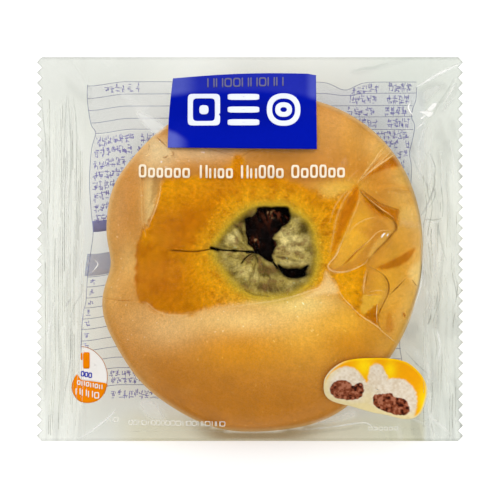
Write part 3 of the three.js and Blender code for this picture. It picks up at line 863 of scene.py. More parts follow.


# Tones of the crust, with painted light and shade: soft patches, each a middle, a size in pixels, a colour
# and a strength
tones = {
    # where the film stands off, the crust is paled by a painted sheen of the film's reflection; the patches
    # add baked tone, more painted sheen, and painted shade low on the bun and just below the panel
    "veiledCrust": (203, 132, 46),
    "toneSheenAndShadePatches": [
        ((264, 300), (28, 7), (240, 208, 118), 0.7), ((310, 328), (62, 34), (248, 186, 66), 0.85),
        ((172, 330), (38, 22), (232, 182, 120), 0.9), ((240, 320), (60, 16), (254, 210, 134), 0.85),
        ((300, 304), (34, 13), (255, 220, 136), 0.85), ((240, 352), (56, 20), (232, 152, 20), 0.75),
        ((345, 342), (28, 20), (224, 144, 12), 0.7), ((386, 346), (15, 14), (232, 168, 60), 0.8),
        ((409, 302), (11, 26), (228, 180, 92), 0.7), ((340, 320), (22, 14), (242, 178, 60), 0.7),
        ((384, 288), (18, 26), (234, 172, 52), 0.7), ((138, 314), (20, 16), (234, 178, 108), 0.6),
        ((140, 388), (14, 20), (220, 162, 84), 0.6), ((170, 368), (24, 14), (190, 120, 40), 0.5),
        ((187, 391), (9, 4), (226, 166, 92), 0.6), ((190, 402), (70, 34), (190, 116, 26), 0.75),
        ((280, 406), (60, 24), (193, 119, 22), 0.7), ((365, 372), (34, 30), (190, 121, 26), 0.6),
        ((122, 205), (22, 46), (206, 142, 70), 0.8), ((118, 290), (20, 30), (216, 156, 78), 0.7),
        ((130, 262), (13, 24), (232, 178, 100), 0.8), ((350, 128), (60, 30), (210, 150, 76), 0.85),
        ((200, 154), (38, 9), (220, 176, 126), 0.9), ((151, 200), (9, 34), (226, 188, 122), 0.9),
        ((224, 152), (12, 5), (180, 138, 102), 0.8), ((158, 154), (19, 18), (232, 198, 148), 0.9),
        ((405, 215), (18, 30), (220, 168, 84), 0.8), ((345, 236), (16, 26), (234, 170, 42), 0.9),
        ((398, 262), (20, 28), (222, 160, 50), 0.7), ((338, 188), (24, 10), (238, 186, 78), 0.8),
        ((362, 218), (10, 14), (240, 176, 50), 0.6), ((280, 156), (30, 7), (172, 110, 38), 0.85),
        ((420, 270), (8, 50), (244, 204, 132), 0.5), ((404, 330), (12, 22), (240, 188, 100), 0.6),
        ((404, 178), (14, 22), (222, 176, 104), 0.7), ((108, 270), (9, 40), (240, 186, 108), 0.7),
        ((112, 200), (9, 34), (220, 164, 96), 0.6), ((382, 148), (18, 14), (226, 180, 118), 0.6),
    ],
    "wet": (228, 150, 8),
    "wetPatches": [
        ((210, 194), (26, 9), (206, 122, 2), 0.7), ((260, 186), (40, 8), (214, 134, 6), 0.6),
        ((176, 226), (30, 20), (188, 106, 4), 0.85), ((190, 208), (34, 12), (216, 138, 8), 0.5),
        ((165, 286), (22, 18), (196, 116, 4), 0.75), ((182, 262), (30, 14), (216, 146, 10), 0.6),
        ((200, 296), (30, 14), (206, 128, 6), 0.5), ((250, 190), (60, 10), (206, 134, 10), 0.5),
        ((200, 190), (30, 9), (222, 148, 18), 0.4), ((320, 205), (16, 20), (210, 134, 6), 0.4),
        ((346, 285), (16, 24), (244, 168, 14), 0.8), ((346, 212), (10, 20), (206, 128, 4), 0.4),
        ((205, 221), (46, 15), (196, 116, 4), 0.55), ((322, 262), (14, 26), (242, 170, 22), 0.6),
        ((264, 300), (28, 7), (238, 206, 112), 0.8), ((202, 226), (22, 22), (186, 104, 2), 0.6),
        ((204, 206), (16, 12), (190, 108, 4), 0.3), ((222, 184), (16, 8), (190, 116, 20), 0.6),
        ((300, 190), (24, 8), (200, 122, 10), 0.6), ((160, 266), (14, 8), (220, 140, 20), 0.6),
    ],
    "wetDark": (180, 98, 4),
    "bandShare": 0.55,                        # of the dark tone, left of the crater
    "bandLine": (30.5, 0.72),                 # its upper edge: level at the pack's middle, and slope
    "craterGlow": (224, 160, 24),
    "glowShare": 0.8,
    "rim": (188, 158, 46),
    "rimShare": 0.9,
    "rimPale": (250, 208, 146),               # the crust's outline is lit through the film
    "rimPaleShare": 0.6,
    "rightWarm": (1, 0.985, 0.68),
    "pinch": (357, 187),                      # the film's tension lines run from here
    "tension": 0.09,                          # and change the tone by this share
    "dough": (172, 150, 76),                  # patches of torn dough: middle, size, strength
    "cream": (234, 212, 140),
    # the dough's own pale colour, with painted light on the tops of its mounds
    "creamAndLightPatches": [
        ((290, 243), (14, 10), 0.95), ((286, 232), (8, 7), 0.8), ((299, 216), (7, 5), 0.6),
        ((232, 238), (6, 7), 0.85), ((250, 273), (12, 7), 0.4), ((263, 277), (10, 6), 0.1),
        ((290, 263), (12, 3), 0.7)],
    # painted shade of the torn dough: in its hollows, by the rim and by the openings
    "doughShadeAndMottle": (92, 76, 32),
    "doughShadePatches": [
        ((221, 240), (3.5, 6), 0.9), ((242.5, 219), (4, 4), 0.9), ((305, 227.5), (4, 5), 0.9),
        ((298, 286), (9, 5), 0.6), ((272, 289), (12, 4), 0.6), ((241, 230), (4, 9), 0.6),
        ((230, 268), (8, 8), 0.35), ((314, 250), (4, 16), 0.3), ((259, 257), (8, 5), 0.5),
        ((310, 272), (6, 8), 0.5), ((304, 231), (8, 9), 0.6), ((272, 271), (14, 7), 0.9),
        ((239, 214), (8, 7), 0.9), ((245, 212), (7, 5), 0.8), ((232, 274), (7, 5), 0.3)],
    "brown": (128, 92, 54),
    # painted shade: below the opening's top edge, under the right mound and low in the crater
    "brownShadePatches": [((251, 212), (9, 5), 0.5), ((284, 252), (10, 6), 0.4), ((268, 286), (12, 5), 0.4)],
    # near black: painted shade inside the openings and cracks, and at the openings' edges
    "dark": (10, 4, 4),
    "zones": {
        "band": [("y", 4.5, 1), ("x", -14, -24)],
        "leftEdge": [("x", -28, -33)],
        "tension": [("x", 24, 36)],
        "rightWarm": [("x", 26, 34)],
    },
}


def patched(x, y, tone, patches):
    colour = linear(tone)
    for centre, radii, patch, strength in patches:
        colour = over(colour, patch, strength * blob(x, y, centre, radii))
    return colour


def crustColours(x, y, share):
    depth, inside, opened, crack, pleat, hole = craterFields(x, y)
    wetness = contactAt(x, y)
    wet = patched(x, y, tones["wet"], tones["wetPatches"])
    wet = over(wet, tones["craterGlow"], tones["glowShare"] * smooth(-9, -1.5, inside))
    # the crust under a painted sheen where the film stands off, and its wet look where the film touches
    colour = mix(patched(x, y, tones["veiledCrust"], tones["toneSheenAndShadePatches"]), wet, wetness[:, None])
    level, slope = tones["bandLine"]
    band = smooth(0, 1.2, level + slope * x - y + 1.2 * noise(x, y, 4, 45, 2)) * zone(tones, "band", x, y)
    # then the painted light and shade of the film's folds
    colour = paintFoldLightAndShade(over(colour, tones["wetDark"], tones["bandShare"] * band * wetness), x, y)
    blotch = smooth(0.05, 0.8, noise(x, y, 2.2, 48, 4)) + 0.7 * smooth(0.2, 0.8, noise(x, y, 0.8, 49, 2))
    edge = smooth(0.1, 0.5, wetness) * smooth(1, 0.7, wetness) * zone(tones, "leftEdge", x, y)
    colour = over(colour, tones["wetDark"], np.clip(0.42 * blotch * wetness + 0.5 * edge, 0, 1))
    fine = noise(x, y, 0.9, 41, 2) * (0.06 + 0.07 * wetness) + noise(x, y, 0.45, 42) * (0.04 + 0.05 * wetness)
    # painted streaks of light and shade where the film's tension lines cross the crust, fanning from the
    # pinch
    turn, reach = around(x, y, tones["pinch"])
    tension = tones["tension"] * noise(8 * turn, 0.06 * reach, 1, 50, 2) * zone(tones, "tension", x, y)
    colour = colour * (1 + fine + 0.05 * noise(x, y, 6, 43) + tension)[:, None]
    colour = colour * mix(1, np.array(tones["rightWarm"]), zone(tones, "rightWarm", x, y)[:, None])
    colour = over(colour, tones["rim"], tones["rimShare"] * smooth(-3.2, 0.8, inside))

    cloud = noise(x, y, 1.9, 46, 3)
    # paler on the mounds and the pleats' crests: the dough's own colour with painted light
    cream = blobs(x, y, tones["creamAndLightPatches"]) + 0.15 * pleat + 0.25 * cloud
    # painted shade in the dough's hollows and pleat valleys, with a soft random mottle
    doughShadeAndMottle = blobs(x, y, tones["doughShadePatches"]) + 0.45 * smooth(0.15, 0.9, -pleat)
    doughShadeAndMottle = doughShadeAndMottle + 0.4 * smooth(0.1, 0.8, -cloud)
    # brown: a random mottle of the dough, and painted shade at the patches
    brown = blobs(x, y, tones["brownShadePatches"]) + 0.55 * smooth(0.1, 0.9, noise(x, y, 1.5, 47, 3))
    dough = over(linear(tones["dough"]), tones["cream"], np.clip(cream, 0, 1))
    dough = over(dough, tones["doughShadeAndMottle"], np.clip(doughShadeAndMottle, 0, 1))
    dough = over(dough, tones["brown"], np.clip(brown, 0, 0.8))
    # painted shade on the dough at the openings' edges
    dough = over(dough, tones["dark"], 0.55 * smooth(-0.9, -0.05, hole))
    dough = dough * (1 + 0.14 * noise(x, y, 0.6, 44, 2))[:, None]

    colour = mix(colour, dough, smooth(-0.5, 2.4, inside)[:, None])
    colour = over(colour, tones["rimPale"], tones["rimPaleShare"] * smooth(0.96, 1, share) ** 2)
    # painted shade down the openings' walls and in the cracks
    return over(colour, tones["dark"], np.clip(opened + 1.4 * crack, 0, 1)), wetness


crust = {
    "pores": 2000,                            # lumps a metre
    "poreTones": (0.80, 1.17),
    "dryGrain": 0.6,                          # how strongly pores show where the film doesn't touch
    "flecks": 850,
    "fleckTint": (1.25, 1.7, 3.5, 1),
    "fleckLimits": (0.71, 0.78, 0, 0.7),
    "roughness": 0.75,
    "specular": 0.015,
    "bump": (0.35, 0.2),                      # strength and depth
}


def crustShader(tree):
    pores = grain(tree, crust["pores"], 3)
    pitted = rangeNode(tree, pores, 0.32, 0.68, *crust["poreTones"])
    coarse = rangeNode(tree, heldNode(tree, "wet", "Fac"), 0, 1, crust["dryGrain"], 1)
    grained = blendNode(tree, coarse, heldNode(tree, "paint"), pitted, blend_type="MULTIPLY")
    fleck = rangeNode(tree, grain(tree, crust["flecks"], 1), *crust["fleckLimits"])
    colour = blendNode(tree, fleck, grained, crust["fleckTint"], blend_type="MULTIPLY", clamp_result=True)
    bump = bumpNode(tree, pores, *crust["bump"])
    return coatNode(tree, colour, crust["roughness"], crust["specular"], Normal=bump)


def bunTurns():
    # directions of the segments, which stand closer on the right and left, where the folds are
    turn = np.linspace(-np.pi, np.pi, 2001)
    density = 1 + 1.1 * np.exp(-(turn / 0.9) ** 2) + 0.7 * np.exp(-((np.pi - abs(turn)) / 0.6) ** 2)
    passed = np.concatenate(([0], np.cumsum((density[1:] + density[:-1]) / 2)))
    return np.interp(np.arange(bun["segments"]) / bun["segments"], passed / passed[-1], turn)


def buildBun():
    turn = bunTurns()
    outline = outlineRadius(turn)[:, None] * np.column_stack((np.cos(turn), np.sin(turn)))
    middle, pole = np.array(bun["centre"]), np.array(crater["centre"])
    inner, shoulder, under, base = bun["rings"]
    reach = bun["craterReach"]
    shares = np.append(np.linspace(0, reach, inner + 1)[1:],
                       np.sin(np.linspace(np.arcsin(reach), np.pi / 2, shoulder + 1))[1:])
    x, y = np.vstack([mix(pole, middle, share) + share * outline for share in shares]).T
    share = np.minimum(bunShare(x, y), 1)
    lumps = (0.35 * noise(x, y, 12, 51, 2) + 0.05 * noise(x, y, 1.5, 52, 2)) * (1 - share ** 6)
    level = crownHeight(share) - bun["under"] - craterFields(x, y)[0] - 0.2 - 0.3 * abs(lumps)
    points = [np.column_stack((x, y, level))]
    # under side and base: share of the radius, then level
    steps = np.cos(np.linspace(0, np.pi / 2, under + 1))[1:]
    sides = bun["baseShare"] + (1 - bun["baseShare"]) * steps
    low = list(zip(sides, underHeight(sides) + mix(bun["above"], -bun["under"], steps ** 8)))
    low += [(bun["baseShare"] * (1 - ring / base), bun["above"]) for ring in range(1, base)]
    points += [np.insert(middle + share * outline, 2, level, 1) for share, level in low]
    holeFloor = crownHeight(0.1) - crater["holeDepth"] - crater["lip"]
    points = np.vstack(points + [(*pole, holeFloor), (*middle, bun["above"])])

    rings = len(shares) + len(low)
    index = np.arange(rings * bun["segments"]).reshape(rings, -1)
    index = np.column_stack((index, index[:, 0]))
    top, foot = len(points) - 2, len(points) - 1
    faces = gridFaces(index.T).tolist()
    faces += [(top, int(a), int(b)) for a, b in zip(index[0], index[0, 1:])]
    faces += [(foot, int(b), int(a)) for a, b in zip(index[-1], index[-1, 1:])]
    piece = meshPiece("bun", points, faces, newMaterial("baked_crust", crustShader))
    x, y, z = points.T
    colour, wetness = crustColours(x, y, bunShare(x, y))
    isLow = (np.arange(len(points)) >= len(level)) & (np.arange(len(points)) != top)
    colour[isLow] = over(linear(bun["side"]), bun["foot"], smooth(12, 2, z))[isLow]
    setColours(piece, colour)
    setValues(piece, wetness, "wet")
    return piece


bunPiece = buildBun()
print("bun built:", len(bunPiece.data.polygons), "faces")


# Bean paste in the two openings

paste = {
    "level": 7,                               # below the crown
    "step": 0.28,
    "half": (12.5, 13.5),
    "thickness": 1.5,
    "mounds": [((274, 216), (14, 9), 2.4), ((255, 244), (5, 5), 1.2), ((274, 243), (4, 5), 0.8)],
    # near black: the paste's dark colour deepened into painted shade for the depth of the openings
    "dark": (5, 2, 2),
    "red": (112, 50, 28),
    "redPatches": [((276, 216), (14, 9), 1), ((256, 242), (5, 5), 0.8), ((277, 243), (4, 5), 0.8)],
    # pale: crumbs of dough on the upper lump, and a painted glint on the small lump
    "pale": (204, 158, 112),
    "crumbAndGlintPatches": [((268, 213), (12, 5), 1), ((256, 241), (3, 3), 0.8)],
}


def pasteShader(tree):
    bump = bumpNode(tree, grain(tree, 2600, 5), 0.5, 0.3)
    return coatNode(tree, heldNode(tree, "paint"), 0.5, 0.02, Normal=bump)


def buildPaste():
    # lumpy slab under both openings, closed below
    (cx, cy), (halfX, halfY) = crater["centre"], paste["half"]
    x, y = np.meshgrid(*(np.linspace(c - half, c + half, int(2 * half / paste["step"]))
                         for c, half in ((cx, halfX), (cy, halfY))))
    u, v = (x - cx) / halfX, (y - cy) / halfY
    x, y = cx + halfX * u * np.sqrt(1 - v * v / 2), cy + halfY * v * np.sqrt(1 - u * u / 2)
    lump = noise(x, y, 2.4, 61, 3) + 0.5 * (1 - 2 * abs(noise(x, y, 1.3, 62)))
    top = crownHeight(bunShare(x, y)) - paste["level"] + blobs(x, y, paste["mounds"]) + lump
    index = np.arange(x.size).reshape(x.shape)
    upper = gridFaces(index)
    faces = upper.tolist() + (upper[:, ::-1] + x.size).tolist()
    rim = list(index[0, :-1]) + list(index[:-1, -1]) + list(index[-1, :0:-1]) + list(index[:0:-1, 0])
    for a, b in zip(rim, rim[1:] + rim[:1]):
        faces.append([int(a), int(a) + x.size, int(b) + x.size, int(b)])
    below = np.full(x.size, top.min() - paste["thickness"])
    x, y, z = np.tile(x.ravel(), 2), np.tile(y.ravel(), 2), np.append(top.ravel(), below)
    piece = meshPiece("bean_paste", np.column_stack((x, y, z)), faces, newMaterial("bean_paste", pasteShader))
    red = smooth(-0.1, 0.9, noise(1.7 * x + 0.4 * y, 0.7 * y, 1.1, 63, 3))
    red = red * (blobs(x, y, paste["redPatches"]) + 0.05)
    # pale crumbs, and a painted glint
    pale = smooth(0.5, 0.9, noise(x, y, 0.7, 64, 2)) * blobs(x, y, paste["crumbAndGlintPatches"])
    colour = over(linear(paste["dark"]), paste["red"], np.clip(red, 0, 1))
    setColours(piece, over(colour, paste["pale"], np.clip(pale, 0, 1)))
    return piece


pastePiece = buildPaste()
print("bean paste built")


# Thin sheets that follow the film, for its lit folds and its print

def lozenge(centre, half, power, count):
    # rounded shape: 2 gives an ellipse, more gives a rounded box; sizes in photo pixels
    turn = np.linspace(0, 2 * np.pi, count, endpoint=False)
    sides = [size * np.sign(wave) * abs(wave) ** (2 / power)
             for size, wave in zip(half, (np.cos(turn), np.sin(turn)))]
    return spots(np.transpose(sides) + centre)[::-1]


class Sheets:
    # gathers many shapes of one finish into one mesh
    def __init__(self, lift, thickness=0.05, surface=frontSurface):
        self.lift, self.thickness, self.surface = lift, thickness, surface
        self.points, self.faces, self.count = [], [], 0

    def add(self, x, y, closed=False):
        # x, y: rings of points from the middle outwards, or rows of a strip
        top = np.column_stack((x.ravel(), y.ravel(), (self.surface(x, y) + self.lift).ravel()))
        index = np.arange(x.size).reshape(x.shape) + self.count
        current, following = (index, np.roll(index, -1, 1)) if closed else (index[:, :-1], index[:, 1:])
        quads = np.stack((current[:-1], current[1:], following[1:], following[:-1]), -1).reshape(-1, 4)
        self.faces += quads.tolist() + (quads[:, ::-1] + x.size).tolist()
        loops = [list(index[-1]), list(index[0])[::-1]]
        if not closed:
            loops = [loops[1] + list(index[1:-1, 0]) + loops[0] + list(index[-2:0:-1, -1])]
        for loop in loops:
            for a, b in zip(loop, loop[1:] + loop[:1]):
                self.faces.append([int(b), int(a), int(a) + x.size, int(b) + x.size])
        self.points += [top, top - (0, 0, self.thickness)]
        self.count += 2 * x.size

    def ring(self, outer, inner, rings=6):
        # between two outlines with as many points
        steps = np.linspace(0, 1, rings + 1)[:, None]
        self.add(*(mix(inner[:, axis], outer[:, axis], steps) for axis in (0, 1)), True)

    def fill(self, outline, rings=6):
        middle = outline.mean(0)
        self.ring(outline, middle + (outline - middle) * 0.02, rings)

    def mark(self, centre, half, stroke, kind):
        # a ring or two bars: reads as small print from afar, and spells nothing
        if kind == "ring":
            self.ring(lozenge(centre, half, 4, 28), lozenge(centre, np.subtract(half, stroke), 4, 28), 2)
        else:
            for side in (-1, 1):
                place = (centre[0] + side * (half[0] - stroke / 2), centre[1])
                self.fill(lozenge(place, (stroke / 2, half[1]), 6, 20), 2)

    def strip(self, path, halfWidth):
        aside = sideways(path) * halfWidth
        self.add(*np.moveaxis(np.stack((path - aside, path + aside)), -1, 0))

    def finish(self, name, material):
        return meshPiece(name, np.vstack(self.points), self.faces, material)


# Lines of light and shade along the folds, strongest in the middle

folds = {
    "lift": 0.1,
    "thickness": 0.03,
    "breadth": 1.45,                          # half width as a share of the crease's line width
    "narrowest": 0.55,
    "strength": 1.3,
    "strongest": 0.97,
    # across a strip: place, and share of its strength
    "section": [(-1, 0), (-0.55, 0.4), (-0.2, 1), (0.2, 1), (0.55, 0.4), (1, 0)],
    "glints": [
        [418, 111.5, 424, 110.8, 430, 111, 434, 112.5, 431.5, 116.5, 428, 117.5, 423.5, 114.2],
        [426.5, 110.5, 429.5, 106, 433.5, 102.6, 437.2, 102.2, 437.2, 105, 434, 109, 430, 112],
        [420, 118.6, 424, 115.4, 425.6, 116, 422, 119.2]],
    "glintSection": (0.75, 0.75, 0.75, 0.6, 0),   # from the middle out
    "onBun": {"pale": (244, 198, 124), "bright": (252, 218, 154), "white": (255, 253, 246),
              "deep": (184, 104, 8), "dark": (134, 76, 14)},
    "offBun": {"pale": (250, 250, 244), "bright": (252, 252, 246), "white": (255, 255, 252),
               "deep": (150, 148, 134), "dark": (132, 134, 122)},
}


def foldShader(tree):
    return coatNode(tree, heldNode(tree, "paint"), 0.3, 0.02, Alpha=heldNode(tree, "strength", "Fac"))


def buildFolds():
    sheets = Sheets(folds["lift"], folds["thickness"])
    strengths, colours = [], []
    across, share = np.array(folds["section"], float).T
    for pixels, height, width, tone, line, strength in creases:
        path = roundPath(pixels, 12, False)
        ends = np.sin(np.pi * np.linspace(0, 1, len(path))) ** 0.6
        half = np.maximum(line, folds["narrowest"]) * pixel * folds["breadth"] * (0.35 + 0.65 * ends)
        aside = sideways(path) * half[:, None]
        x, y = (path[:, axis] + across[:, None] * aside[:, axis] for axis in (0, 1))
        sheets.add(x, y)
        wander = 0.75 + 0.35 * noise(*path.T, 2.5, 17, 2)
        shown = np.clip(folds["strength"] * strength * ends * wander, 0, folds["strongest"])
        oneFace = 1 - np.sqrt(1 - shown)      # a sight line meets both faces of a strip
        strengths += [np.outer(share, oneFace).ravel()] * 2
        off = smooth(0.985, 1, bunShare(x, y)).ravel()
        colours += [over(linear(folds["onBun"][tone]), folds["offBun"][tone], off)] * 2
    for pixels in folds["glints"]:
        outline = roundPath(pixels)[::-1]
        sheets.fill(outline, len(folds["glintSection"]) - 1)
        ring = np.repeat(folds["glintSection"], len(outline))
        strengths += [ring] * 2
        colours += [np.tile(linear(folds["offBun"]["white"]), (len(ring), 1))] * 2
    piece = sheets.finish("film_folds", newMaterial("fold_light", foldShader))
    setValues(piece, np.concatenate(strengths), "strength")
    setColours(piece, np.vstack(colours))
    return piece


# Crimp ribs pressed into both end seals

ribs = {
    "spacing": 0.62,
    "breadth": 0.11,                          # radius of a rib
    "wander": 0.35,
    # at the left and right: where they end, wider spacing, longest rib, its sway, how that varies along x
    "sides": [(50, 1, 46, 1.1, 0), (32, 1.5, 16, 2.6, 0.3)],
    # the grey piece is painted shade along the crimps, beside the pale ribs
    # piece: material, colour, strongest share, share of the length left smooth, seed
    "pieces": {"seal_ribs": ("pressed_film", (249, 249, 245), 0.55, 0.45, 4),
               "seal_groove_shade": ("pressed_shade", (150, 152, 142), 0.5, 0.72, 11)},
}


def ribShader(tree, colour, strongest):
    share = rangeNode(tree, grain(tree, 90, 2), 0.3, 0.7, 0.05, strongest)
    return clearShader(tree, share, (0.97, 0.975, 0.95, 1), (*linear(colour), 1), 0.06, 0.15)


def ribTree():
    tree, start = geometryTree("pressedRibs", {"Breadth": ("Float", 0.0001), "Wander": ("Float", 0.0003),
                                               "Film": ("Material", None)})
    line = addNode(tree, "GeometryNodeMeshToCurve", {"Mesh": start["Geometry"]})
    place = addNode(tree, "GeometryNodeInputPosition")
    sway = addNode(tree, "TexNoise", {"Vector": place, "Scale": 55, "Detail": 1}, "Fac")
    aside = mathNode(tree, "MULTIPLY", mathNode(tree, "SUBTRACT", sway, 0.5), start["Wander"])
    offset = addNode(tree, "CombineXYZ", {"X": aside})
    moved = addNode(tree, "GeometryNodeSetPosition", {"Geometry": line, "Offset": offset})
    circle = {"Resolution": 5, "Radius": start["Breadth"]}
    profile = addNode(tree, "GeometryNodeCurvePrimitiveCircle", circle, "Curve")
    sweep = {"Curve": moved, "Profile Curve": profile, "Fill Caps": True}
    tube = addNode(tree, "GeometryNodeCurveToMesh", sweep)
    return finishTree(tree, tube, start["Film"])


def buildRibs(name, material, colour, strongest, missing, seed):
    random = np.random.default_rng(seed)
    points, edges = [], []
    spans = ((-pack["halfLength"] + pack["toothDepth"] + 0.6, leftInner),
             (rightInner, pack["halfLength"] - pack["toothDepth"] - 0.6))
    for (low, high), (top, spread, longest, sway, apart) in zip(spans, ribs["sides"]):
        for x in np.arange(low, high, ribs["spacing"] * spread):
            y = -pack["halfWidth"] + 1 + random.uniform(0, 12)
            while y < top - 8:
                length = min(random.uniform(0.15 * longest, longest), top - random.uniform(0, 14) - y)
                if length > 3 and random.random() > missing:
                    ys = np.arange(y, y + length, 1.6)
                    xs = x + sway * noise(apart * x, ys, 26 / sway, 15) * smooth(top, top - 40, ys)
                    xs = np.clip(xs, low - 0.3, high + 0.3)
                    first = len(points)
                    points += list(zip(xs, ys, pack["edgeLevel"] + 0.16 + sealRipple(xs, ys)))
                    edges += [(first + k, first + k + 1) for k in range(len(ys) - 1)]
                y += max(length, 4) + random.uniform(1, 5)
    finish = newMaterial(material, ribShader, colour, strongest)
    return growPiece(name, points, edges, ribTree(),
                     {"Breadth": ribs["breadth"] * mm, "Wander": ribs["wander"] * mm, "Film": finish})


ribPieces = [buildRibs(name, *values) for name, values in ribs["pieces"].items()]
print("seal ribs pressed:", len(ribPieces[0].data.polygons), "faces")


# Printing on the film

def inkShader(tree, colour, roughness=0.35, thin=0):
    low, high = linear(colour) * 0.94, np.minimum(linear(colour) * 1.06, 1)
    ink = blendNode(tree, grain(tree, 220, 2), (*low, 1), (*high, 1))
    return coatNode(tree, ink, roughness, 0.01, Alpha=1 - thin)


def fieldShader(tree):
    # ink whose colour fields are held on the piece
    tone = rangeNode(tree, grain(tree, 900, 2), 0.3, 0.7, 0.97, 1.03)
    return coatNode(tree, blendNode(tree, 1, heldNode(tree, "paint"), tone, blend_type="MULTIPLY"), 0.4, 0.01)


inkTones = {                                  # colour on screen, roughness, how thin it is
    "blue": ((8, 28, 170), 0.3),
    "white": ((226, 230, 245),),
    "cream": ((243, 229, 203),),
    "thin_white": ((250, 248, 240), 0.4, 0.45),
    "grey": ((108, 106, 142), 0.4),
    "orange": ((238, 132, 0),),
    "badge_white": ((240, 236, 230),),
    "badge_line": ((190, 128, 84),),
    "label": ((144, 138, 220), 0.5, 0.3),
    "label_box": ((150, 158, 236), 0.5, 0.1),
    "label_pale_box": ((208, 218, 255), 0.5, 0.4),
    "label_line": ((130, 136, 192), 0.5, 0.3),
}
inks = {name: newMaterial(name + "_ink", inkShader, *values) for name, values in inkTones.items()}
inks["label_tint"] = newMaterial("label_tint", addNode, "BsdfTransparent", {"Color": (0.992, 0.985, 1, 1)})


panel = {
    "corners": [168, 148, 316.6, 149.6, 316, 74, 173, 78.5],
    "cells": (110, 56),
    "lowArc": [168, 131, 176, 134, 188, 141, 200, 149, 212, 156],
    "topArc": [168, 97, 190, 94, 220, 92.5, 260, 92, 300, 96, 318, 101],
    "blue": (0, 19, 161),
    # painted shade about the middle, and painted reflection where the film turns away
    "shadedBlue": (0, 14, 140),
    "reflectedBlue": (150, 162, 236),
    "shadePatch": ((245, 112), (60, 15)),
    "zones": {
        "low": [("x", -19, -25)],
        "topLeft": [("x", -16, -23)],
        "topRight": [("x", 17.5, 20.5)],
    },
    "lift": 0.12,
    "markLift": 0.24,
    "barMarks": (211, 281, 8.6),              # pixels where they start and end, and their pitch
    "barMiddle": (245, 82.4),
    "barHalf": (3.8, 4.6),
    "barStroke": 1.5,
    # plain shapes in the heading's place: middle, half size, power, points, half size and power of the hole
    "marks": [((204, 110), (16.2, 16), 9, 64, (11, 11.4), 7), ((204, 110), (4.6, 4.6), 3, 40, None, 0),
              ((243.5, 97.2), (15.8, 3.1), 6, 48, None, 0), ((243.5, 110), (15.8, 3.1), 6, 48, None, 0),
              ((243.5, 122.8), (15.8, 3.1), 6, 48, None, 0),
              ((283.5, 110), (16.8, 16.4), 2.3, 64, (11.4, 11.2), 2.3),
              ((283.5, 110), (8.4, 7.4), 2.3, 48, (3.2, 2.4), 2.3)],
}


def lineHeight(pixels, x):
    # height at x of a line through pixels
    return np.interp(x, *spots(pixels).T)


def buildPanel():
    a, b, c, d = spots(panel["corners"])[:, :, None, None]
    u, v = np.meshgrid(*(np.linspace(0, 1, count) for count in panel["cells"]))
    x, y = mix(mix(a, b, u), mix(d, c, u), v)
    y = y + v * (0.8 * np.sin(np.pi * u) - 0.4 * smooth(0.93, 1, u))
    x = x - 0.4 * np.sin(np.pi * v) * (1 - u)
    sheets = Sheets(panel["lift"])
    sheets.add(x, y)
    piece = sheets.finish("print_panel", newMaterial("panel_ink", fieldShader))
    x, y, z = np.vstack(sheets.points).T
    # painted reflection: paler blue along the top, where the film turns away, and at the low left corner;
    # painted shade: deeper blue about the middle
    low = smooth(1.2, -1, y - lineHeight(panel["lowArc"], x)) * zone(panel, "low", x, y)
    top = smooth(-0.8, 1.6, y - lineHeight(panel["topArc"], x))
    sides = 0.2 * zone(panel, "topLeft", x, y) + 0.16 * zone(panel, "topRight", x, y)
    panelSheen = 0.3 * low + top * (0.05 + sides)
    blue = over(linear(panel["blue"]), panel["shadedBlue"], blob(x, y, *panel["shadePatch"]))
    setColours(piece, over(blue, panel["reflectedBlue"], np.clip(panelSheen, 0, 1)))
    return piece


def buildPanelMarks():
    sheets = Sheets(panel["markLift"])
    for centre, half, power, count, hole, holePower in panel["marks"]:
        outline = lozenge(centre, half, power, count)
        if hole:
            sheets.ring(outline, lozenge(centre, hole, holePower, count))
        else:
            sheets.fill(outline)
    return sheets.finish("print_panel_marks", inks["white"])


def buildPanelBar():
    sheets = Sheets(panel["markLift"])
    middle, level = panel["barMiddle"]
    for px in np.arange(*panel["barMarks"]):
        kind = "ring" if px % 2 < 1 else "bars"
        sheets.mark((px, level - 0.02 * (px - middle)), panel["barHalf"], panel["barStroke"], kind)
    return sheets.finish("print_panel_bar", inks["grey"])


words = {
    "runs": [(139, 194), (200, 233), (241, 284), (291, 345)],
    "foot": 177.8,                            # pixel row that they stand on
    "sway": (140, 66),                        # it sways from the first pixel, by a pixel over this many
    "widths": (6.6, 8.6),
    "tall": 6.6,
    "low": 5,
    "stroke": 2.15,
    "gap": 1.5,
    "lift": 0.14,
    "seed": 7,
}


def buildWords():
    # runs of plain white marks under the panel
    sheets = Sheets(words["lift"])
    random = np.random.default_rng(words["seed"])
    start, swing = words["sway"]
    for low, high in words["runs"]:
        px = low
        while px < high - 3:
            width = min(random.uniform(*words["widths"]), high - px)
            height = words["tall"] if random.random() < 0.3 or px == low else words["low"]
            centre = (px + width / 2, words["foot"] - height + np.sin((px - start) / swing))
            kind = "bars" if random.random() < 0.25 else "ring"
            sheets.mark(centre, (width / 2, height), words["stroke"], kind)
            px += width + words["gap"]
    return sheets.finish("print_words", inks["cream"])


smallMarks = {
    "span": (108, 228),                       # pixels where the left row starts and ends
    "blank": (121, 127),
    "step": (125, 419.5),                     # the row is level up to here, then stands lower
    "lower": 2.6,
    "slope": 0.015,
    "gap": 1.6,
    "right": (370, 399, 5.2),                 # start, end and pitch of the right row
    "rightRow": 428.5,
    "seed": 3,
}


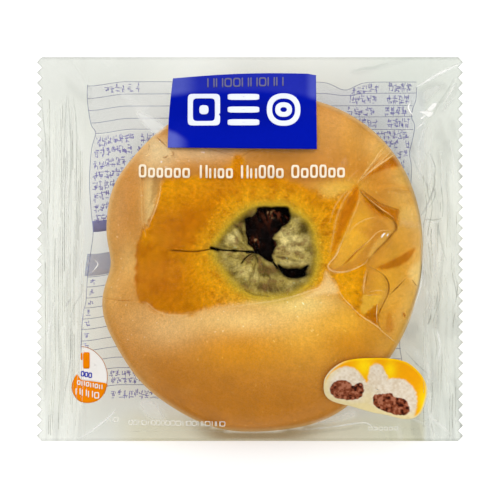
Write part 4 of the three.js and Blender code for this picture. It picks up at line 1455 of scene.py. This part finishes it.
def buildSmallMarks():
    # faint marks low on the front, then a few more at the right
    sheets = Sheets(words["lift"])
    (px, last), (blankStart, blankEnd), (step, row) = (smallMarks[name] for name in ("span", "blank", "step"))
    for size in np.random.default_rng(smallMarks["seed"]).uniform(2, 4.6, 26):
        if px > last:
            break
        if not blankStart < px < blankEnd:
            lower = (px > step) * (smallMarks["lower"] + smallMarks["slope"] * (px - step))
            sheets.mark((px, row + lower), (0.6 + size / 2, 2.6), 0.8, "ring" if size > 3 else "bars")
        px += size + smallMarks["gap"]
    for px in np.arange(*smallMarks["right"]):
        sheets.mark((px, smallMarks["rightRow"]), (2, 1.9), 0.7, "ring")
    return sheets.finish("print_small_marks", inks["thin_white"])


badge = {
    "white": [
        81.4, 346.4, 86.6, 347.4, 91.4, 349.3, 96, 352.5, 100, 356.4, 103.4, 361, 105.7, 366.4, 107.2, 372,
        107.5, 377, 107, 383.6, 93, 381.4, 81.4, 380, 79.5, 377.5],
    "orange": [
        76.9, 374.3, 79, 377, 81.4, 380, 93, 381.4, 107, 383.6, 106, 389, 104.3, 393.6, 98.6, 400, 90, 402.9,
        81.4, 402.1, 75.7, 397.9, 72.1, 390.7, 72.1, 383.6, 74.3, 378],
    # rows of marks: start, end, pitch and half size
    "rows": [((77, 382.6), (103, 387.6), 4.4, (1.8, 2.3)), ((75.5, 391.5), (97.5, 396), 6.2, (2.6, 3.3))],
    "dots": (82.6, 86.4, 90.2),
    "dotMiddle": (86, 374.4),
    # plain blocks: middle, half size, power, points and rings
    "blocks": [((86.4, 360.4), (3.3, 8.2), 7, 40, 3), ((81.6, 356.4), (0.9, 3.6), 4, 20, 2)],
    # layers: ink, lift off the film, and thickness where it isn't the usual one
    "layers": {"white": ("badge_white", 0.14), "orange": ("orange", 0.16), "edge": ("badge_line", 0.2, 0.04),
               "block": ("orange", 0.26), "marks": ("badge_white", 0.28), "dots": ("blue", 0.26)},
}


def buildBadge():
    layers = {name: Sheets(*sizes) for name, (ink, *sizes) in badge["layers"].items()}
    for name in ("white", "orange"):
        layers[name].fill(roundPath(badge[name], 4)[::-1], 8)
    # the printed line follows the first points of the white part and two of the orange one
    layers["edge"].strip(roundPath(badge["white"][:20] + badge["orange"][10:14], 5, False), 0.11)
    for *shape, rings in badge["blocks"]:
        layers["block"].fill(lozenge(*shape), rings)
    for (lowX, lowY), (highX, highY), pitch, half in badge["rows"]:
        for px in np.arange(lowX, highX, pitch):
            centre = (px + half[0], mix(lowY, highY, (px - lowX) / (highX - lowX)))
            kind = "bars" if int(px) % 3 == 0 else "ring"
            layers["marks"].mark(centre, half, 0.85 + 0.1 * half[0], kind)
    middle, level = badge["dotMiddle"]
    for px in badge["dots"]:
        layers["dots"].mark((px, level + 0.2 * (px - middle)), (1.8, 2.7), 0.95, "ring")
    return [layers[name].finish("print_badge_" + name, inks[ink])
            for name, (ink, *sizes) in badge["layers"].items()]


picture = {
    "outline": [
        323.3, 385, 325, 376.7, 331.7, 368.3, 341.7, 361.7, 353.3, 358.7, 370, 357.7, 386.7, 358, 400, 360,
        410, 364.2, 420, 373.3, 425.8, 383.3, 427.2, 393.3, 425, 403.3, 421.7, 411.7, 416.7, 416.7, 410, 419,
        400, 418.3, 386.7, 415, 373.3, 412.5, 363.3, 409.7, 350, 405.8, 336.7, 402.5, 328.3, 398.3,
        324.2, 392.5],
    "crumbs": [
        [324, 386, 328, 375.5, 335, 369.5, 343.3, 366, 351.7, 367, 358.3, 371.7, 363.3, 378.3, 368, 384,
         376, 390, 376, 414, 363, 411, 350, 407, 336.7, 403.5, 327.5, 399, 323, 392],
        [367.5, 384, 369, 371.7, 371, 366, 376.7, 363.5, 381.7, 366, 385, 371.7, 387.5, 380, 380, 392,
         372, 392],
        [367, 386, 378, 383, 387.5, 379.5, 393.3, 378.3, 403.3, 379.5, 410, 384.2, 415, 390.5, 417, 400,
         415.5, 412, 411, 421, 400, 420, 386.7, 417, 370, 413]],
    "fillings": [
        [330, 386.7, 333.3, 381.7, 339.2, 379.2, 348.3, 380.8, 353.3, 385, 357.5, 382.2, 361.7, 382.5,
         363.7, 386.7, 363, 393.3, 359.2, 398, 350, 399.3, 338.3, 398.8, 331.7, 395],
        [372.5, 400, 374.2, 395, 381.7, 393.3, 391.7, 393.3, 394.2, 396.7, 403.3, 398.3, 408.3, 403.3,
         409.2, 410.5, 405.8, 415, 396.7, 415, 383.3, 410.5, 375, 406.5]],
    "crust": (240, 162, 12),
    "crustEdge": (255, 214, 16),
    "glow": [((364, 366), (9, 10), 1), ((390, 370), (6, 9), 1), ((424, 402), (6, 16), 1)],
    "crumb": (234, 222, 202),
    "crumbShade": (206, 184, 152),
    "base": (226, 208, 150),
    "basePatch": ((367, 401), (9, 12)),
    "zones": {"base": [("y", -34, -44)]},
    "paste": (126, 62, 38),
    "pasteDark": (52, 18, 12),
    "pastePale": (176, 110, 82),
    "lift": 0.16,
    "rings": 56,
    "steps": 12,                              # along each part of the outline
}


def buildPicture():
    # a plain picture of a bun cut in half, in fields of colour
    outline = roundPath(picture["outline"], picture["steps"])[::-1]
    sheets = Sheets(picture["lift"])
    sheets.fill(outline, picture["rings"])
    piece = sheets.finish("print_picture", newMaterial("picture_ink", fieldShader))
    x, y, z = np.vstack(sheets.points).T
    edge = insideDepth(x, y, outline)

    def field(pixels, rough, size, seed):
        return insideDepth(x, y, roundPath(pixels, 4)) + rough * noise(x, y, size, seed, 2)

    glow = blobs(x, y, picture["glow"]) + 0.5 * smooth(0.9, 0.2, edge)
    colour = over(linear(picture["crust"]), picture["crustEdge"], np.clip(glow, 0, 1))
    crumb = smooth(0.7, 0.2, edge) * smooth(-36, -41, y + 0.25 * (x - 34))
    for pixels in picture["crumbs"]:
        crumb = np.maximum(crumb, smooth(-0.35, 0.35, field(pixels, 0.18, 0.7, 71)))
    shade = np.clip(0.35 + 0.35 * noise(x, y, 0.7, 72, 3), 0, 1)
    low = 0.8 * smooth(3, 0.6, edge) * zone(picture, "base", x, y) + 0.7 * blob(x, y, *picture["basePatch"])
    bread = over(linear(picture["crumb"]), picture["crumbShade"], shade)
    bread = over(bread, picture["base"], np.clip(low, 0, 0.9))
    colour = mix(colour, bread, crumb[:, None])
    lumps = noise(x, y, 0.85, 74, 3)
    bean = over(linear(picture["paste"]), picture["pasteDark"], smooth(0.05, 0.7, -lumps))
    bean = over(bean, picture["pastePale"], 0.9 * smooth(0.2, 0.8, lumps))
    for pixels in picture["fillings"]:
        colour = mix(colour, bean, smooth(-0.1, 0.2, field(pixels, 0.22, 0.9, 73))[:, None])
    setColours(piece, colour)
    return piece


# Label printed on the back film: it shows through between the bun and the seals

label = {
    "left": [
        87.5, 85, 87.5, 102, 91, 124, 95.5, 133, 91.5, 150, 89.5, 180, 91, 210, 93, 232, 91, 250, 87.5, 277,
        86, 301, 83, 315, 81, 346, 82, 372, 84, 390],
    "right": [
        416.7, 86.3, 415.8, 100, 413, 108, 411.5, 117, 414.7, 126, 412.5, 140, 409.7, 153, 411.7, 167,
        411, 185, 408, 230, 404, 290, 400, 342, 402, 362, 401, 390],
    "span": 322,                              # pixels between its borders
    "bow": 4.5,                               # pixels that lines rise just in from the left border
    "dent": 8,                                # pixels that the top line sinks at a fold of the film
    "dentPlace": 345,
    "dentWidth": 13,
    "dentRows": (96, 88),                     # none of it at the first pixel row, all at the second
    "topLines": [(86, 86.5), (98.5, 97.5), (110.5, 110), (123, 121), (133.5, 134)],
    "lowLines": [277, 287, 298, 308, 319, 329.5, 341, 351, 361.5, 372, 389],
    "textRows": [(142.5, 139), (153.5, 148.5), (165, 159), (176, 169.5), (186.5, 180), (197.5, 190),
                 (208.5, 201), (219, 211)],
    "footRows": [(377.5, 4.6, 8), (384.5, 4.6, 8), (398.5, 7.5, 9)],   # place, height, strokes to a letter
    # rows of strokes: ends as shares of the span, and strokes to a letter
    "textSpan": (0.008, 0.985),
    "textCrowd": 11,
    "topCells": [(0.8, 0.885, 9), (0.915, 0.985, 13), (0.05, 0.16, 7)],   # the last in the first row only
    "lowCell": (0.008, 0.034, 5, 7),          # with its height before the strokes
    "footSpan": (0.085, 0.93),
    # piece: ink, middle row, half height, then its ends as shares of the span
    "boxes": {"label_heading": ("label_box", 226.5, 5.5, 0, 0.3),
              "label_table_head": ("label_pale_box", 265, 11, -0.01, 0.97),
              "label_ground": ("label_tint", 178, 43, 0, 1),
              "label_top_ground": ("label_tint", 110, 24, 0, 1)},
    "textHeight": 7.8,
    "letterPitch": 5.6,
    "stroke": (2.8, 0.6),                     # pixels, length and breadth of one stroke
    "strokeSpread": 0.4,                      # share that its length varies by
    "lift": 0.14,
    "thickness": 0.04,
    "seed": 9,
}


def labelPoint(yLeft, yRight, share):
    # share 0 at the left border and 1 at the right one, in photo pixels
    left, right = (np.reshape(label[side], (-1, 2)).T for side in ("left", "right"))
    x = mix(np.interp(yLeft, left[1], left[0]), np.interp(yRight, right[1], right[0]), share)
    y = mix(yLeft, yRight, share) - label["bow"] * smooth(0, 0.12, share)
    dent = label["dent"] * np.exp(-((x - label["dentPlace"]) / label["dentWidth"]) ** 2)
    y = y + dent * smooth(*label["dentRows"], y)
    return np.stack((x, y), -1)


def buildLabelLines():
    sheets = Sheets(label["lift"], label["thickness"], backSurface)
    rules = [(*ends, 0.08) for ends in label["topLines"]] + [(y, y + 2, 0.09) for y in label["lowLines"]]
    for yLeft, yRight, half in rules:
        sheets.strip(spots(labelPoint(yLeft, yRight, np.linspace(0, 1, 150))), half)
    for side in ("left", "right"):
        sheets.strip(roundPath(label[side], 8, False), 0.09)
    return sheets.finish("label_lines", inks["label_line"])


def buildLabelBoxes():
    pieces = []
    for name, (ink, y, high, low, end) in label["boxes"].items():
        along = np.linspace(low, end, 90)
        rows = [spots(labelPoint(y + part, y + 1 + part, along))
                for part in (high, 0.33 * high, -0.33 * high, -high)]
        sheets = Sheets(label["lift"], label["thickness"], backSurface)
        sheets.add(*np.moveaxis(np.stack(rows), -1, 0))
        pieces.append(sheets.finish(name, inks[ink]))
    return pieces


def markTree():
    # a stroke on each point, lying or standing, and more or less long
    tree, start = geometryTree("printedMarks", {"Length": ("Float", 0.001), "Breadth": ("Float", 0.0003),
                                                "Thickness": ("Float", 0.00004), "Spread": ("Float", 0.5),
                                                "Seed": ("Int", 0), "Ink": ("Material", None)})
    size = addNode(tree, "CombineXYZ", {"X": start["Length"], "Y": start["Breadth"], "Z": start["Thickness"]})
    stroke = addNode(tree, "GeometryNodeMeshCube", {"Size": size})
    choice = addNode(tree, "FunctionNodeRandomValue", {4: 0, 5: 1, "Seed": start["Seed"]}, 2, data_type="INT")
    turn = addNode(tree, "CombineXYZ", {"Z": mathNode(tree, "MULTIPLY", choice, np.pi / 2)})
    limits = {2: mathNode(tree, "SUBTRACT", 1, start["Spread"]),
              3: mathNode(tree, "ADD", 1, start["Spread"]), "Seed": start["Seed"]}
    stretch = addNode(tree, "FunctionNodeRandomValue", limits, 1, data_type="FLOAT")
    scale = addNode(tree, "CombineXYZ", {"X": stretch, "Y": 1, "Z": 1})
    placed = addNode(tree, "GeometryNodeInstanceOnPoints", {"Points": start["Geometry"], "Instance": stroke,
                                                            "Rotation": turn, "Scale": scale})
    return finishTree(tree, placed, start["Ink"])


def buildLabelMarks():
    # rows of short crossed strokes with gaps, at the scale of small print
    random = np.random.default_rng(label["seed"])
    pitch = label["letterPitch"] / label["span"]
    found = []

    def addRow(yLeft, yRight, low, high, height, crowd):
        share, gap = low + 0.5 * pitch, 0
        while share < high:
            gap -= 1
            if gap == 0:
                share += pitch * random.uniform(0.4, 1.0)
            if gap <= 0:
                gap = random.integers(5, 12)
            for _ in range(crowd):
                spot = labelPoint(yLeft, yRight, share + pitch * random.uniform(-0.36, 0.36))
                found.append((spot[0], spot[1] + height * random.uniform(-0.5, 0.5)))
            share += pitch

    for yLeft, yRight in label["textRows"]:
        addRow(yLeft, yRight, *label["textSpan"], label["textHeight"], label["textCrowd"])
    for number, lines in enumerate(zip(label["topLines"], label["topLines"][1:])):
        for low, high, crowd in label["topCells"][:2 if number else 3]:
            addRow(*np.mean(lines, 0), low, high, label["textHeight"], crowd)
    for yTop, yLow in zip(label["lowLines"], label["lowLines"][1:-1]):
        middle = (yTop + yLow) / 2
        addRow(middle, middle + 2, *label["lowCell"])
    for y, height, crowd in label["footRows"]:
        addRow(y, y + 1, *label["footSpan"], height, crowd)
    x, y = spots(found).T
    points = np.column_stack((x, y, backSurface(x, y) + label["lift"]))
    length, breadth = label["stroke"]
    return growPiece("label_marks", points, [], markTree(),
                     {"Length": length * pixel * mm, "Breadth": breadth * pixel * mm,
                      "Thickness": label["thickness"] * mm, "Spread": label["strokeSpread"],
                      "Seed": label["seed"], "Ink": inks["label"]})


foldPiece = buildFolds()
labelPieces = [buildLabelLines(), buildLabelMarks()] + buildLabelBoxes()
print("back label built:", len(labelPieces[1].data.polygons), "faces of marks")

printPieces = [buildPanel(), buildPanelMarks(), buildPanelBar(), buildWords(), buildSmallMarks()]
printPieces += buildBadge() + [buildPicture()]
print("front printing built:", len(printPieces), "pieces")


# Floor, light and camera

studio = {
    "floorTone": 0.95,
    "floorGlow": 0.3,                         # keeps the floor as white as the photo's
    "floorHalf": 3000,
    "floorLevel": -0.3,
    "worldLight": 0.75,
    "lamps": [                                # place and width in metres, then brightness
        ((0, 1.25, 1.05), (1.6, 0.7), 2),
        ((-1.25, 0.25, 1.05), (0.7, 1.4), 1.1),
        ((1.25, 0.1, 1.05), (0.7, 1.4), 1.2),
        ((0.75, 0.9, 0.9), (0.06, 0.5), 16)],
}


def floorShader(tree):
    glow = {"Emission Color": (1, 1, 1, 1), "Emission Strength": studio["floorGlow"]}
    return coatNode(tree, (*[studio["floorTone"]] * 3, 1), 0.9, 0.5, **glow)


def buildStage():
    half, level = studio["floorHalf"], studio["floorLevel"]
    corners = [(x * half, y * half, level) for x, y in ((-1, -1), (1, -1), (1, 1), (-1, 1))]
    meshPiece("floor", corners, [(0, 1, 2, 3)], newMaterial("pale_floor", floorShader))
    world = bpy.data.worlds.new("studio")
    world.use_nodes = True
    world.node_tree.nodes["Background"].inputs["Color"].default_value = (1, 1, 1, 1)
    world.node_tree.nodes["Background"].inputs["Strength"].default_value = studio["worldLight"]
    bpy.context.scene.world = world
    bpy.context.scene.view_settings.view_transform = "Standard"


def buildLamps():
    for number, (place, width, brightness) in enumerate(studio["lamps"]):
        lamp = bpy.data.lights.new("softbox_%d" % number, "AREA")
        lamp.shape, lamp.size, lamp.size_y = "RECTANGLE", width[0], width[1]
        lamp.energy = brightness * np.pi * width[0] * width[1]
        holder = newObject(lamp.name, lamp)
        holder.location = place
        holder.rotation_euler = (-Vector(place)).to_track_quat("-Z", "Y").to_euler()


def buildCamera():
    # straight down, from far away
    camera = bpy.data.cameras.new("camera")
    camera.sensor_width = 36
    camera.lens = camera.sensor_width * photo["cameraHeight"] / (photo["imageSize"] * pixel)
    camera.clip_end = 20
    holder = newObject("camera", camera)
    offset = photo["imageSize"] / 2 - photo["middle"][1]
    holder.location = (0, -offset * pixel * mm, (photo["cameraHeight"] + pack["edgeLevel"]) * mm)
    bpy.context.scene.camera = holder


buildStage()
buildLamps()
buildCamera()
print("stage ready")


# Every piece rides on the one body, and together they stand for the pack's solid
for piece in [filmPiece, foldPiece, bunPiece, pastePiece] + ribPieces + labelPieces + printPieces:
    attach(piece, "root")
    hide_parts("sealed_pack")

print("pieces tied to the frame")
